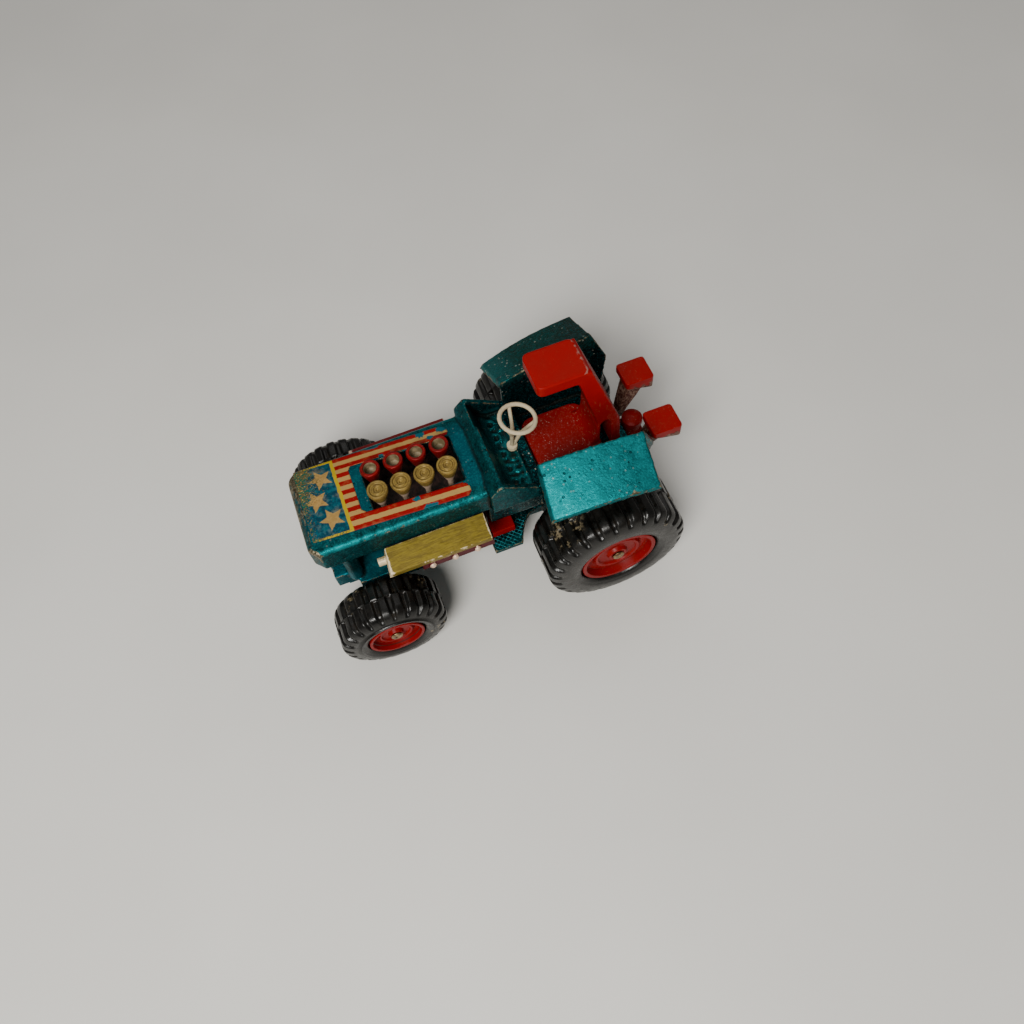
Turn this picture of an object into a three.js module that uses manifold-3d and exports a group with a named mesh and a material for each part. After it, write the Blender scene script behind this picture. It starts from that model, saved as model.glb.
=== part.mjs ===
// Free-rolling die-cast toy tractor with an open V-8, as an assembly of separate solids.
// Millimetres. +X forward, +Y to the tractor's left, +Z up, wheels on the plane Z = 0,
// origin below the middle of the whole model.
import * as THREE from 'three';
import { mergeVertices } from 'three/addons/utils/BufferGeometryUtils.js';
import Module from 'manifold-3d';

const wasm = await Module();
wasm.setup();

// ---- driving dimensions -------------------------------------------------------------------
const GAP = 0.3; // clearance between pieces that meet

const REAR_AXLE_X = -24;
const FRONT_AXLE_X = 36.5;
const AXLE_RADIUS = 1.2;
const AXLE_BORE = 1.3;
const CASTING_BORE = 1.45;
const AXLE_SIDES = 16;
const AXLE_HEAD = { radius: 1.6, thickness: 0.5 };

const REAR_WHEEL = {
  radius: 19, // over the lugs, and the height of the axle
  lug: 1.1,
  lugs: 28,
  outer: 31.9, // |y| of the outer side of the tyre
  inner: 14.9,
  rim: 10.2,
  hubOuter: 31.0,
  hubInner: 15.9,
};
const FRONT_WHEEL = {
  radius: 14.2,
  lug: 0.9,
  lugs: 24,
  outer: 28.6,
  inner: 15.6,
  rim: 7.3,
  hubOuter: 28.1,
  hubInner: 16.2,
};

const HOOD = {
  nose: 48.5, rear: 3.2, half: 12.6, side: 33.7, wall: 1.6, roof: 3.4,
  shoulder: 11.9, shoulderZ: 41.3, edgeZ: 40.6, crown: 6.6, top: 42.3, noseBevel: [1.6, 1.7],
  cornerCut: [2.2, 2.6], pocketRear: 1.6, pocketFront: 5.5,
};
const OPENING = { front: 30.4, rear: 7.1, half: 6.9 };
const GRILLE = {
  front: 46.3, rear: 42.4, half: 8, bottom: 23.2,
  slotHalf: 6.6, slotDeep: 0.6, slotTall: 1.3, slots: [25, 27.4, 29.8],
};
const COWL = { front: 3.2, frontZ: 41.8, ridge: 0.8, ridgeZ: 44.5, half: 14.2, wall: 1.4, bottom: 34 };
const COCKPIT = { floor: 36, rear: -11.6, wallRearZ: 38.4, wallRear: -9.6, dashFoot: -3.2 };
const DECK = { top: 31.2, bottom: 28.2, rear: -37.5, half: 12.8 };
const LOWER_HULL = { front: 3.2, rear: -11.6, half: 8.5, bottom: 18.6, wall: 1.5 };
const FENDER = {
  frontX: -9.8, rearX: -35.5, frontOuterX: -8.6, rearOuterX: -34.8,
  innerFront: [12.6, 47.3], outerFront: [25.3, 40.9], // [|y|, z] of the top skin
  innerRear: [15.6, 50.2], outerRear: [28.2, 44.3],
  crown: 1.1, lip: [0.9, 1.5], lipWide: 1.2, thickness: 1.5, wall: 1.5, steps: 4,
  wallFoot: 29, tail: [-39.3, 13.6, 42.1],
};

const TRUMPET = { firstX: 28.0, pitch: 5.9, row: 3.2, foot: 32.5, top: 45.7, sides: 16 };
const COVER = {
  front: 32.6, rear: 5.6, inner: 12.95, outer: 19.3, innerZ: 34.4, outerZ: 32.2, deep: 1.7, chamfer: 1.2,
  nub: { radius: 1.15, long: 3.2, ahead: 0.9, outward: 1.6, drop: 3.0 },
};
const MANIFOLD = {
  front: 24.2, rear: 5.2, inner: 12.95, outer: 18.9, top: 30.2, deep: 2.4, boss: 1.0, bossX: 21.6, bosses: 3,
};

const SEAT = {
  half: 8.6, top: 34.6, bottom: 31.5, front: -12.1, rear: -29.4,
  backHalf: 5.5, canopyTop: 65.4, canopyDeep: 3.2, canopyFront: -13.3, canopyRear: -26,
  // [x, z] outlines of the back seen from the side, and of the arch through its foot
  backSide: [
    [-23.2, 62.7], [-24.2, 59.2], [-28.4, 43.5], [-28.9, 31.5], [-35, 31.5], [-34.5, 42.3],
    [-26.6, 64.9], [-25, 64.9],
  ],
  archSide: [[-29.2, 30.5], [-32.4, 30.5], [-32.2, 41.5], [-31.6, 43.1], [-30.5, 43.6], [-29.2, 42.6]],
};
const LAMP = { front: -41, rear: -48.9, inner: 4.6, outer: 11.9, top: 39.4, deepFront: 2.0, deepRear: 4.5 };
const HITCH = { x: -40.9, radius: 2.8, top: 31.4, collar: 2.5, collarTop: 29.8 };
const LAMP_FOOT = { front: -35.2, rear: -41.4, inner: 5.1, outer: 7.7, bottom: 25.2, top: 27.9 };
const TONGUE = { front: -33.8, half: 3, bottom: 25.2, top: 27.9 };
const LABEL = { skin: 0.14, air: 0.02, half: 10.9, front: 46.4, rear: 6.6, margin: 0.5 };
const STEERING = {
  x: -9.5, z: 49.2, lean: 0.187, ring: 4.45, wire: 0.58, spokes: [1.15, 3.27, 5.36], spoke: 0.5,
  knee: 1.5, kneeDrop: 5.2, foot: [-7.6, -0.8], footZ: COCKPIT.floor + GAP, pad: 1.4, padTall: 1.3,
};
const BASE = {
  bottom: 9, top: 13, half: 9.5, wideRear: -3.4, wideFront: 40, waist: 6, rear: -37, front: 44.4, recess: 0.8,
};
const POST = { radius: 1.8, head: 2.6, headTall: 0.8, rearX: -30, frontX: 41.4, bottom: BASE.bottom + 0.3 };
const HOUSING = {
  rear: -36.2, front: -12.4, half: 12, roomRear: -33.4, roomFront: -15, roomHalf: 8.6, floor: 11.5,
  notchZ: 24.9, window: [-20.6, -15.4, 14.5, 25.5], // [x, x, z, z] of the core window in each side
};
const CARRIER = { rear: 31.6, front: 40.6, half: 13, bottom: 10.6, top: 20.8 };
const CROSS = { rear: 41, front: 46.4, half: 9.9, bottom: 17.4, top: 22.4 };
const KING_POST = { x: 40.8, y: 9.6, radius: 1.9, bottom: 20, top: 32.6 };
const STEP = {
  front: 4.6, inner: 5, outer: 14.4, corner: -3.4, rear: -11.6, rearY: 5.8, pull: [-6.2, 6.0], deep: 1.4,
};
const GEARBOX = { front: 3.6, rear: -2.8, half: 10.3, top: 15.8 };

// ---- building blocks ----------------------------------------------------------------------
function solid(geometry) {
  const bare = geometry.index ? geometry.toNonIndexed() : geometry.clone();
  for (const name of Object.keys(bare.attributes)) {
    if (name !== 'position') bare.deleteAttribute(name);
  }
  const merged = mergeVertices(bare, 1e-4);
  return new wasm.Manifold(new wasm.Mesh({
    numProp: 3,
    vertProperties: new Float32Array(merged.attributes.position.array),
    triVerts: new Uint32Array(merged.index.array),
  }));
}

function toGeometry(manifold) {
  const mesh = manifold.getMesh();
  const geometry = new THREE.BufferGeometry();
  geometry.setAttribute('position', new THREE.BufferAttribute(new Float32Array(mesh.vertProperties), 3));
  geometry.setIndex(new THREE.BufferAttribute(new Uint32Array(mesh.triVerts), 1));
  geometry.computeVertexNormals();
  return geometry;
}

const join = (...solids) => solids.reduce((sum, next) => sum.add(next));
const cut = (base, ...tools) => tools.reduce((rest, tool) => rest.subtract(tool), base);

function box(x0, x1, y0, y1, z0, z1) {
  const geometry = new THREE.BoxGeometry(x1 - x0, y1 - y0, z1 - z0);
  geometry.translate((x0 + x1) / 2, (y0 + y1) / 2, (z0 + z1) / 2);
  return solid(geometry);
}

function extrude(points, depth) {
  const outline = points.map(([u, v]) => new THREE.Vector2(u, v));
  if (THREE.ShapeUtils.area(outline) < 0) outline.reverse();
  return new THREE.ExtrudeGeometry(new THREE.Shape(outline), { depth, bevelEnabled: false });
}

// An [x, z] outline, from y0 to y1.
function sideProfile(points, y0, y1) {
  const geometry = extrude(points, y1 - y0);
  geometry.rotateX(Math.PI / 2);
  geometry.translate(0, y1, 0);
  return solid(geometry);
}

// A [y, z] outline, from x0 to x1.
function frontProfile(points, x0, x1) {
  const geometry = extrude(points, x1 - x0);
  geometry.rotateX(Math.PI / 2);
  geometry.rotateZ(Math.PI / 2);
  geometry.translate(x0, 0, 0);
  return solid(geometry);
}

// An [x, y] outline, from z0 to z1.
function plan(points, z0, z1) {
  const geometry = extrude(points, z1 - z0);
  geometry.translate(0, 0, z0);
  return solid(geometry);
}

// A strip of hexahedra: every station is a quad of [x, y, z] corners in the same order.
function strip(stations) {
  const corners = [];
  const faces = [];
  const quad = (a, b, c, d) => faces.push(a, b, c, a, c, d);
  stations.forEach((station) => station.forEach((corner) => corners.push(...corner)));
  for (let s = 0; s + 1 < stations.length; s += 1) {
    for (let k = 0; k < 4; k += 1) {
      const next = (k + 1) % 4;
      quad(4 * s + k, 4 * s + next, 4 * s + 4 + next, 4 * s + 4 + k);
    }
  }
  const last = 4 * (stations.length - 1);
  quad(3, 2, 1, 0);
  quad(last, last + 1, last + 2, last + 3);
  const geometry = new THREE.BufferGeometry();
  geometry.setAttribute('position', new THREE.Float32BufferAttribute(corners, 3));
  geometry.setIndex(faces);
  let result = solid(geometry);
  if (result.volume() < 0 || result.isEmpty()) {
    geometry.setIndex(faces.reverse());
    result = solid(geometry);
  }
  return result;
}

// A turned solid about a vertical axis: profile of [radius, z], from the axis to the axis.
function turned(profile, sides, x = 0, y = 0) {
  const points = profile.map(([r, z]) => new THREE.Vector2(r, z));
  const geometry = new THREE.LatheGeometry(points, sides);
  geometry.rotateX(Math.PI / 2);
  geometry.translate(x, y, 0);
  return outward(geometry);
}

function outward(geometry) {
  let result = solid(geometry);
  if (result.isEmpty() || result.volume() <= 0) {
    const flipped = geometry.clone();
    flipped.index.array.reverse();
    result = solid(flipped);
  }
  return result;
}

// A round bar along Y, centred on the plane y = 0.
function crossBar(x, z, radius, length, sides = AXLE_SIDES) {
  const geometry = new THREE.CylinderGeometry(radius, radius, length, sides);
  geometry.translate(x, 0, z);
  return solid(geometry);
}

function peg(x, y, z0, z1, radius, sides = 16) {
  const geometry = new THREE.CylinderGeometry(radius, radius, z1 - z0, sides);
  geometry.rotateX(Math.PI / 2);
  geometry.translate(x, y, (z0 + z1) / 2);
  return solid(geometry);
}

// A rounded rectangle in plan.
function roundedRectangle(x0, x1, y0, y1, radius, steps = 3) {
  const points = [];
  const corner = (cx, cy, start) => {
    for (let i = 0; i <= steps; i += 1) {
      const angle = start + (Math.PI / 2) * (i / steps);
      points.push([cx + radius * Math.cos(angle), cy + radius * Math.sin(angle)]);
    }
  };
  corner(x1 - radius, y1 - radius, 0);
  corner(x0 + radius, y1 - radius, Math.PI / 2);
  corner(x0 + radius, y0 + radius, Math.PI);
  corner(x1 - radius, y0 + radius, 1.5 * Math.PI);
  return points;
}

const mirrored = (points) => points.map(([y, z]) => [-y, z]).reverse();
const mirrorY = (manifold) => manifold.mirror([0, 1, 0]);

// ---- materials ----------------------------------------------------------------------------
const paint = (color, roughness, metalness) => () => (
  new THREE.MeshStandardMaterial({ color, roughness, metalness })
);
const teal = paint(0x0f6b70, 0.4, 0.6);
const redPlastic = paint(0xa8181a, 0.45, 0);
const redPaint = paint(0x9c2426, 0.4, 0);
const gold = paint(0x8a8030, 0.5, 0.1);
const maroon = paint(0x6a2030, 0.5, 0);
const creamPlastic = paint(0xcfc0a0, 0.5, 0);
const greyPlastic = paint(0x4a4038, 0.6, 0);
const steel = paint(0x8c7c60, 0.4, 1);
const rubber = paint(0x101010, 0.4, 0);
const paper = paint(0xb0503c, 0.6, 0);

const tractor = new THREE.Group();
function add(name, manifold, material) {
  const mesh = new THREE.Mesh(toGeometry(manifold), material());
  mesh.name = name;
  tractor.add(mesh);
  return mesh;
}

// ---- body casting: hood, cowl, cockpit, deck and fenders ----------------------------------
function hood() {
  const right = [
    [HOOD.half, HOOD.side], [HOOD.half, HOOD.edgeZ], [HOOD.shoulder, HOOD.shoulderZ], [HOOD.crown, HOOD.top],
  ];
  const block = frontProfile([...right, ...mirrored(right)], HOOD.rear - 1, HOOD.nose);
  const [bevelX, bevelZ] = HOOD.noseBevel;
  const bevel = sideProfile([
    [HOOD.nose - bevelX, HOOD.top], [HOOD.nose - bevelX, HOOD.top + 1], [HOOD.nose + 1, HOOD.top + 1],
    [HOOD.nose + 1, HOOD.top - bevelZ], [HOOD.nose, HOOD.top - bevelZ],
  ], -2 * HOOD.half, 2 * HOOD.half);
  const [cornerX, cornerY] = HOOD.cornerCut;
  const corner = plan([
    [HOOD.nose + 1, HOOD.half - cornerY - 1], [HOOD.nose + 1, HOOD.half + 1],
    [HOOD.nose - cornerX - 1, HOOD.half + 1],
  ], HOOD.side - 1, HOOD.top + 1);
  const inner = HOOD.half - HOOD.wall;
  const ceiling = HOOD.edgeZ - HOOD.roof;
  const pocket = frontProfile([
    [inner, HOOD.side - 1], [inner, ceiling], [-inner, ceiling], [-inner, HOOD.side - 1],
  ], HOOD.rear + HOOD.pocketRear, HOOD.nose - HOOD.pocketFront);
  const window = box(OPENING.rear, OPENING.front, -OPENING.half, OPENING.half, HOOD.side - 3, HOOD.top + 5);
  return cut(block, bevel, corner, mirrorY(corner), pocket, window);
}

function lowerNose() {
  const g = GRILLE;
  const shell = box(g.rear, g.front, -g.half, g.half, g.bottom, HOOD.side + 2);
  const boss = box(POST.frontX - 2, g.rear + 0.5, -3, 3, g.bottom, g.bottom + 7);
  const slots = g.slots.map((z) => (
    box(g.front - g.slotDeep, g.front + 1, -g.slotHalf, g.slotHalf, z, z + g.slotTall)
  ));
  return cut(join(shell, boss), ...slots);
}

function cowl() {
  const outer = sideProfile([
    [COWL.front, COWL.bottom], [COWL.front, COWL.frontZ], [COWL.ridge, COWL.ridgeZ],
    [COWL.ridge - 1, COWL.ridgeZ], [COCKPIT.wallRear, COCKPIT.wallRearZ], [COCKPIT.rear, COCKPIT.wallRearZ],
    [COCKPIT.rear, COWL.bottom],
  ], -COWL.half, COWL.half);
  const inside = COWL.half - COWL.wall;
  const dashTop = COWL.ridge - 1.2;
  const tub = (front, y0, y1) => sideProfile([
    [front, COWL.ridgeZ + 1], [front, COWL.ridgeZ - 0.4], [COCKPIT.dashFoot, COCKPIT.floor],
    [COCKPIT.rear - 1, COCKPIT.floor], [COCKPIT.rear - 1, COWL.ridgeZ + 1],
  ], y0, y1);
  return cut(outer, tub(dashTop, -inside, inside), tub(dashTop + 0.7, -inside, -5));
}

function lowerHull() {
  const h = LOWER_HULL;
  const shell = box(h.rear, h.front, -h.half, h.half, h.bottom, COWL.bottom + 1);
  const room = box(h.rear + h.wall, h.front - h.wall, -h.half + h.wall, h.half - h.wall,
    h.bottom - 1, COWL.bottom - h.wall);
  return cut(shell, room);
}

const lerp = (a, b, t) => a + (b - a) * t;
function fenderStation(t) {
  const f = FENDER;
  const crown = f.crown * Math.sin(Math.PI * t);
  const innerX = lerp(f.frontX, f.rearX, t);
  const outerX = lerp(f.frontOuterX, f.rearOuterX, t);
  const flare = t ** 0.8; // the outer edge swells quickly behind its front corner
  const innerZ = lerp(f.innerFront[1], f.innerRear[1], t) + crown / 2;
  const outerZ = lerp(f.outerFront[1], f.outerRear[1], t) + crown;
  return {
    inner: [innerX, lerp(f.innerFront[0], f.innerRear[0], t), innerZ],
    outer: [outerX, lerp(f.outerFront[0], f.outerRear[0], flare), outerZ],
  };
}

function fender() {
  const f = FENDER;
  const under = ([x, y, z]) => [x, y, z - f.thickness];
  const stations = [];
  const front = fenderStation(0);
  const ahead = ([x, y, z]) => [x + f.lip[0], y, z - f.lip[1]];
  const lipBack = ([x, y, z]) => [x + f.lip[0] - f.lipWide, y, z - f.lip[1] - 0.4];
  stations.push([ahead(front.inner), ahead(front.outer), lipBack(front.outer), lipBack(front.inner)]);
  for (let i = 0; i <= f.steps; i += 1) {
    const { inner, outer } = fenderStation(i / f.steps);
    stations.push([inner, outer, under(outer), under(inner)]);
  }
  const skin = strip(stations);
  const wallTop = [0, 0.5, 1].map((t) => fenderStation(t).inner);
  const footY = DECK.half - 0.4;
  const wallStation = ([x, y, z], foot, footX = x) => [
    [x, y, z], [x, y + f.wall, z - 0.6], [footX, footY + f.wall, foot], [footX, footY, foot],
  ];
  const wall = strip([
    wallStation([f.frontX + 0.2, f.innerFront[0], f.innerFront[1] - 0.2], f.wallFoot),
    wallStation(wallTop[1], f.wallFoot), wallStation(wallTop[2], f.wallFoot),
    wallStation(f.tail, f.wallFoot + 4, DECK.rear),
  ]);
  return join(skin, wall);
}

// A post cast with the body, with its end riveted over below the base.
function bodyPost(x, top) {
  const head = peg(x, 0, POST.bottom, POST.bottom + POST.headTall, POST.head);
  return join(peg(x, 0, POST.bottom, top, POST.radius), head);
}

function bodyCasting() {
  const deck = box(DECK.rear, COCKPIT.rear + 1, -DECK.half, DECK.half, DECK.bottom, DECK.top);
  const bulkhead = box(COCKPIT.rear, COCKPIT.rear + 2, -DECK.half, DECK.half, DECK.bottom, COWL.bottom + 1);
  const left = fender();
  return join(
    hood(), lowerNose(), cowl(), lowerHull(), bulkhead, deck, left, mirrorY(left),
    bodyPost(POST.rearX, DECK.bottom + 1), bodyPost(POST.frontX, GRILLE.bottom + 1),
  );
}

// ---- chassis casting ----------------------------------------------------------------------
// The plate's rear edge is hollowed round the wheel, along one curve.
function stepPlate() {
  const t = STEP;
  const hollow = new THREE.QuadraticBezierCurve(
    new THREE.Vector2(t.corner, t.outer), new THREE.Vector2(...t.pull), new THREE.Vector2(t.rear, t.rearY),
  );
  const edge = hollow.getPoints(6).map((point) => [point.x, point.y]);
  const outline = [[t.front, t.inner], [t.front, t.outer], ...edge, [t.rear, t.inner]];
  return plan(outline, BASE.top - t.deep, BASE.top);
}

function rearHousing() {
  const h = HOUSING;
  const block = box(h.rear, h.front, -h.half, h.half, BASE.bottom, DECK.bottom - GAP);
  const room = box(h.roomRear, h.roomFront, -h.roomHalf, h.roomHalf, h.floor, DECK.top);
  const notch = (y0, y1) => box(h.rear - 1, h.roomRear + 1, y0, y1, h.notchZ, DECK.top);
  const [x0, x1, z0, z1] = h.window;
  const windows = box(x0, x1, -h.half - 1, h.half + 1, z0, z1);
  const { inner, outer } = LAMP_FOOT;
  return cut(
    block, room, windows, notch(-TONGUE.half - GAP, TONGUE.half + GAP),
    notch(inner - GAP, outer + GAP), notch(-outer - GAP, -inner + GAP),
  );
}

function chassisCasting() {
  const b = BASE;
  const keel = join(
    box(b.rear, b.front, -b.waist, b.waist, b.bottom, b.top),
    box(b.wideRear, b.wideFront, -b.half, b.half, b.bottom, b.top),
  );
  const c = CARRIER;
  const carrier = box(c.rear, c.front, -c.half, c.half, c.bottom, c.top);
  const x = CROSS;
  const crossMember = join(
    box(x.rear, x.front, -x.half, x.half, x.bottom, x.top),
    box(c.front - 1, b.front, -b.waist, b.waist, b.top - 1, x.bottom + 1),
  );
  const k = KING_POST;
  const kingPost = peg(k.x, k.y, k.bottom, k.top, k.radius);
  const step = stepPlate();
  const bore = (place, wheelSize) => crossBar(place, wheelSize.radius, CASTING_BORE, 2 * wheelSize.outer);
  const holeTop = CROSS.top + 10;
  const postHole = (place) => join(
    peg(place, 0, 0, holeTop, POST.radius + 0.25), peg(place, 0, 0, b.bottom + 1.4, POST.head + 0.4),
  );
  const panel = box(POST.rearX, 30, -6.4, 6.4, 0, b.bottom + b.recess);
  return cut(
    join(keel, rearHousing(), carrier, crossMember, kingPost, mirrorY(kingPost), step, mirrorY(step)),
    bore(REAR_AXLE_X, REAR_WHEEL), bore(FRONT_AXLE_X, FRONT_WHEEL),
    postHole(POST.rearX), postHole(POST.frontX), panel,
  );
}

// ---- V-8 insert ---------------------------------------------------------------------------
function engineBlock() {
  const right = [[5.5, 13.3], [6.5, 18], [12.6, 24.4], [12.6, 30.6], [8, 31], [6.2, 32.2]];
  return frontProfile([...right, ...mirrored(right)], 4.6, 31.1);
}

function rockerCover() {
  const c = COVER;
  const bar = frontProfile([
    [c.inner, c.innerZ], [c.outer, c.outerZ], [c.outer, c.outerZ - c.deep], [c.inner, c.innerZ - c.deep],
  ], c.rear, c.front);
  const chamfer = sideProfile([
    [c.front - c.chamfer, c.innerZ], [c.front - c.chamfer, c.innerZ + 1], [c.front + 1, c.innerZ + 1],
    [c.front + 1, c.outerZ - c.deep], [c.front, c.outerZ - c.deep],
  ], 0, c.outer + 1);
  const nub = new THREE.CylinderGeometry(c.nub.radius, c.nub.radius, c.nub.long, 12);
  nub.rotateZ(Math.PI / 2);
  nub.translate(c.front + c.nub.ahead - 1, c.inner + c.nub.outward, c.innerZ - c.nub.drop);
  return join(cut(bar, chamfer), solid(nub));
}

function exhaustManifold() {
  const m = MANIFOLD;
  const bar = frontProfile([
    [m.inner, m.top], [m.outer, m.top], [m.outer + 0.2, m.top - m.deep], [m.inner, m.top - m.deep],
  ], m.rear, m.front);
  const bosses = Array.from({ length: m.bosses }, (_, i) => {
    const boss = new THREE.SphereGeometry(m.boss, 8, 6);
    boss.translate(m.bossX - i * TRUMPET.pitch, m.outer + 0.1, m.top - m.deep / 2);
    return solid(boss);
  });
  return join(bar, ...bosses);
}

function trumpet(wide) {
  const t = TRUMPET;
  const outer = wide ? 2.66 : 2.55;
  const bore = wide ? 1.9 : 1.6;
  const depth = wide ? 0.55 : 2.6;
  return [
    [0, t.foot], [1.25, t.foot], [1.25, t.foot + 0.7], [0.75, t.foot + 1.2], [0.75, t.foot + 6],
    [outer - 0.5, t.top - 2.6], [outer, t.top - 0.6], [outer - 0.2, t.top], [bore, t.top],
    [bore - 0.3, t.top - depth], [0, t.top - depth - (wide ? 0.3 : 0.4)],
  ];
}

// ---- plastic mouldings --------------------------------------------------------------------
function seatMoulding() {
  const s = SEAT;
  const squab = plan(roundedRectangle(s.rear, s.front, -s.half, s.half, 3), s.bottom, s.top);
  const under = s.canopyTop - s.canopyDeep;
  const canopy = plan(
    roundedRectangle(s.canopyRear, s.canopyFront, -s.backHalf, s.backHalf, 1.4), under, s.canopyTop,
  );
  const back = sideProfile(s.backSide, -s.backHalf, s.backHalf);
  const arch = sideProfile(s.archSide, -s.backHalf - 1, s.backHalf + 1);
  const bridge = box(s.rear - 0.4, s.rear + 0.8, -s.backHalf, s.backHalf, s.bottom, s.top);
  return join(cut(join(squab, back), arch), canopy, bridge);
}

// A lamp box with a sloping underside, on a flaring stalk that is trapped by the rear housing.
function tailLamp() {
  const l = LAMP;
  const f = LAMP_FOOT;
  const rectangle = (x0, x1, y0, y1, z) => [[x0, y0, z], [x1, y0, z], [x1, y1, z], [x0, y1, z]];
  const block = plan(roundedRectangle(l.rear, l.front, l.inner, l.outer, 0.7, 2), l.top - l.deepRear, l.top);
  const below = l.top - l.deepRear - 1;
  const slope = sideProfile([
    [l.front + 1, below], [l.front + 1, l.top - l.deepFront], [l.front, l.top - l.deepFront],
    [l.rear, l.top - l.deepRear], [l.rear, below],
  ], 0, l.outer + 1);
  const foot = box(f.rear, f.front, f.inner, f.outer, f.bottom, f.top);
  const stalk = strip([
    rectangle(f.rear + 2.5, f.rear, f.inner, f.outer, f.top - 0.5),
    rectangle(l.front - 1.5, l.rear + 1.5, l.inner + 0.8, l.outer - 1, l.top - l.deepFront + 0.3),
  ]);
  return join(cut(block, slope), foot, stalk);
}

function towHitch() {
  const h = HITCH;
  const tongue = box(h.x - 2.3, TONGUE.front, -TONGUE.half, TONGUE.half, TONGUE.bottom, TONGUE.top);
  return join(
    tongue, peg(h.x, 0, TONGUE.top - 0.4, h.collarTop, h.collar, 20),
    peg(h.x, 0, h.collarTop - 0.2, h.top, h.radius, 20),
  );
}

function rod(a, b, radius, sides = 8) {
  const from = new THREE.Vector3(...a);
  const to = new THREE.Vector3(...b);
  const geometry = new THREE.CylinderGeometry(radius, radius, from.distanceTo(to), sides);
  const up = new THREE.Vector3(0, 1, 0);
  geometry.applyQuaternion(new THREE.Quaternion().setFromUnitVectors(up, to.clone().sub(from).normalize()));
  const middle = from.clone().add(to).multiplyScalar(0.5);
  geometry.translate(middle.x, middle.y, middle.z);
  return solid(geometry);
}

function steeringWheel() {
  const s = STEERING;
  const ringGeometry = new THREE.TorusGeometry(s.ring, s.wire, 8, 24);
  ringGeometry.rotateY(-s.lean);
  ringGeometry.translate(s.x, 0, s.z);
  const onWheel = (radius, angle, drop) => {
    const point = new THREE.Vector3(radius * Math.cos(angle), radius * Math.sin(angle), -drop);
    point.applyAxisAngle(new THREE.Vector3(0, 1, 0), -s.lean);
    return [point.x + s.x, point.y, point.z + s.z];
  };
  const [footX, footY] = s.foot;
  const spokes = s.spokes.map((turn) => {
    const angle = turn + Math.PI / 2;
    const knee = onWheel(s.knee, angle, s.kneeDrop);
    return join(
      rod(onWheel(s.ring, angle, 0), knee, s.spoke),
      rod(knee, [footX, footY, s.footZ + 0.6], s.spoke + 0.05),
    );
  });
  return join(solid(ringGeometry), ...spokes, peg(footX, footY, s.footZ, s.footZ + s.padTall, s.pad, 12));
}

// The red cross block under the cockpit, seen on the steps.
const transmissionBlock = () => (
  box(GEARBOX.rear, GEARBOX.front, -GEARBOX.half, GEARBOX.half, BASE.top + GAP, GEARBOX.top)
);

// ---- printed paper label ------------------------------------------------------------------
function hoodLabel() {
  const { skin, air, half, front, rear, margin } = LABEL;
  const slope = (HOOD.top - HOOD.shoulderZ) / (HOOD.shoulder - HOOD.crown);
  const edgeZ = HOOD.top - slope * (half - HOOD.crown);
  const face = (lift) => [[half, edgeZ + lift], [HOOD.crown, HOOD.top + lift]];
  const upper = [...face(air + skin), ...mirrored(face(air + skin))];
  const lower = [...face(air), ...mirrored(face(air))].reverse();
  const sheet = frontProfile([...upper, ...lower], rear, front);
  const windowHalf = OPENING.half + margin;
  const window = box(rear - 1, OPENING.front + 2.7, -windowHalf, windowHalf, HOOD.side, HOOD.top + 5);
  return cut(sheet, window);
}

// ---- wheels -------------------------------------------------------------------------------
// A turned ring about the Y axis: a closed profile of [radius, y].
function ring(profile, sides) {
  const closed = [...profile, profile[0]].map(([r, y]) => new THREE.Vector2(r, y));
  return new THREE.LatheGeometry(closed, sides);
}

function tyreGeometry(w) {
  const r = w.radius;
  const tread = r - w.lug;
  const middle = (w.inner + w.outer) / 2;
  const bead = w.rim + 0.35;
  const profile = [
    [bead, w.hubOuter - 0.5], [lerp(bead, r, 0.3), w.outer], [r - 2.2, w.outer - 0.5],
    [r, w.outer - 2.2], [r, middle], [r, w.inner + 2.2],
    [r - 2.2, w.inner + 0.5], [lerp(bead, r, 0.3), w.inner], [bead, w.hubInner + 1],
  ];
  const geometry = ring(profile, 2 * w.lugs);
  // The lugs: every other segment of the tread is lower, and the two rows are staggered.
  const position = geometry.attributes.position;
  const pitch = (2 * Math.PI) / w.lugs;
  for (let i = 0; i < position.count; i += 1) {
    const x = position.getX(i);
    const y = position.getY(i);
    const z = position.getZ(i);
    const radius = Math.hypot(x, z);
    if (radius > r - 0.01) {
      const turn = Math.atan2(z, x) / pitch + (y >= middle ? 0 : 0.5);
      const onLug = Math.abs(turn - Math.round(turn)) < 0.2;
      const scale = (onLug ? r : tread) / radius;
      position.setX(i, x * scale);
      position.setZ(i, z * scale);
    }
  }
  return geometry;
}

function hubGeometry(w) {
  const o = w.hubOuter;
  const r = w.rim;
  return ring([
    [AXLE_BORE, o - 0.9], [r * 0.24, o - 0.9], [r * 0.28, o - 1.9], [r * 0.52, o - 1.9],
    [r * 0.58, o - 1.2], [r * 0.68, o - 2.6], [r * 0.86, o - 2.2], [r * 0.9, o], [r, o], [r, o - 0.9],
    [r - 1, o - 1.1], [r - 1, w.hubInner], [AXLE_BORE, w.hubInner],
  ], 24);
}

function wheel(prefix, w, axleX, side) {
  for (const [part, geometry, material] of [
    ['tyre', tyreGeometry(w), rubber], ['hub', hubGeometry(w), redPlastic],
  ]) {
    let body = outward(geometry);
    if (side < 0) body = mirrorY(body);
    const mesh = add(`${prefix}_${part}`, body, material);
    mesh.position.set(axleX, 0, w.radius);
  }
}

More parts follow.
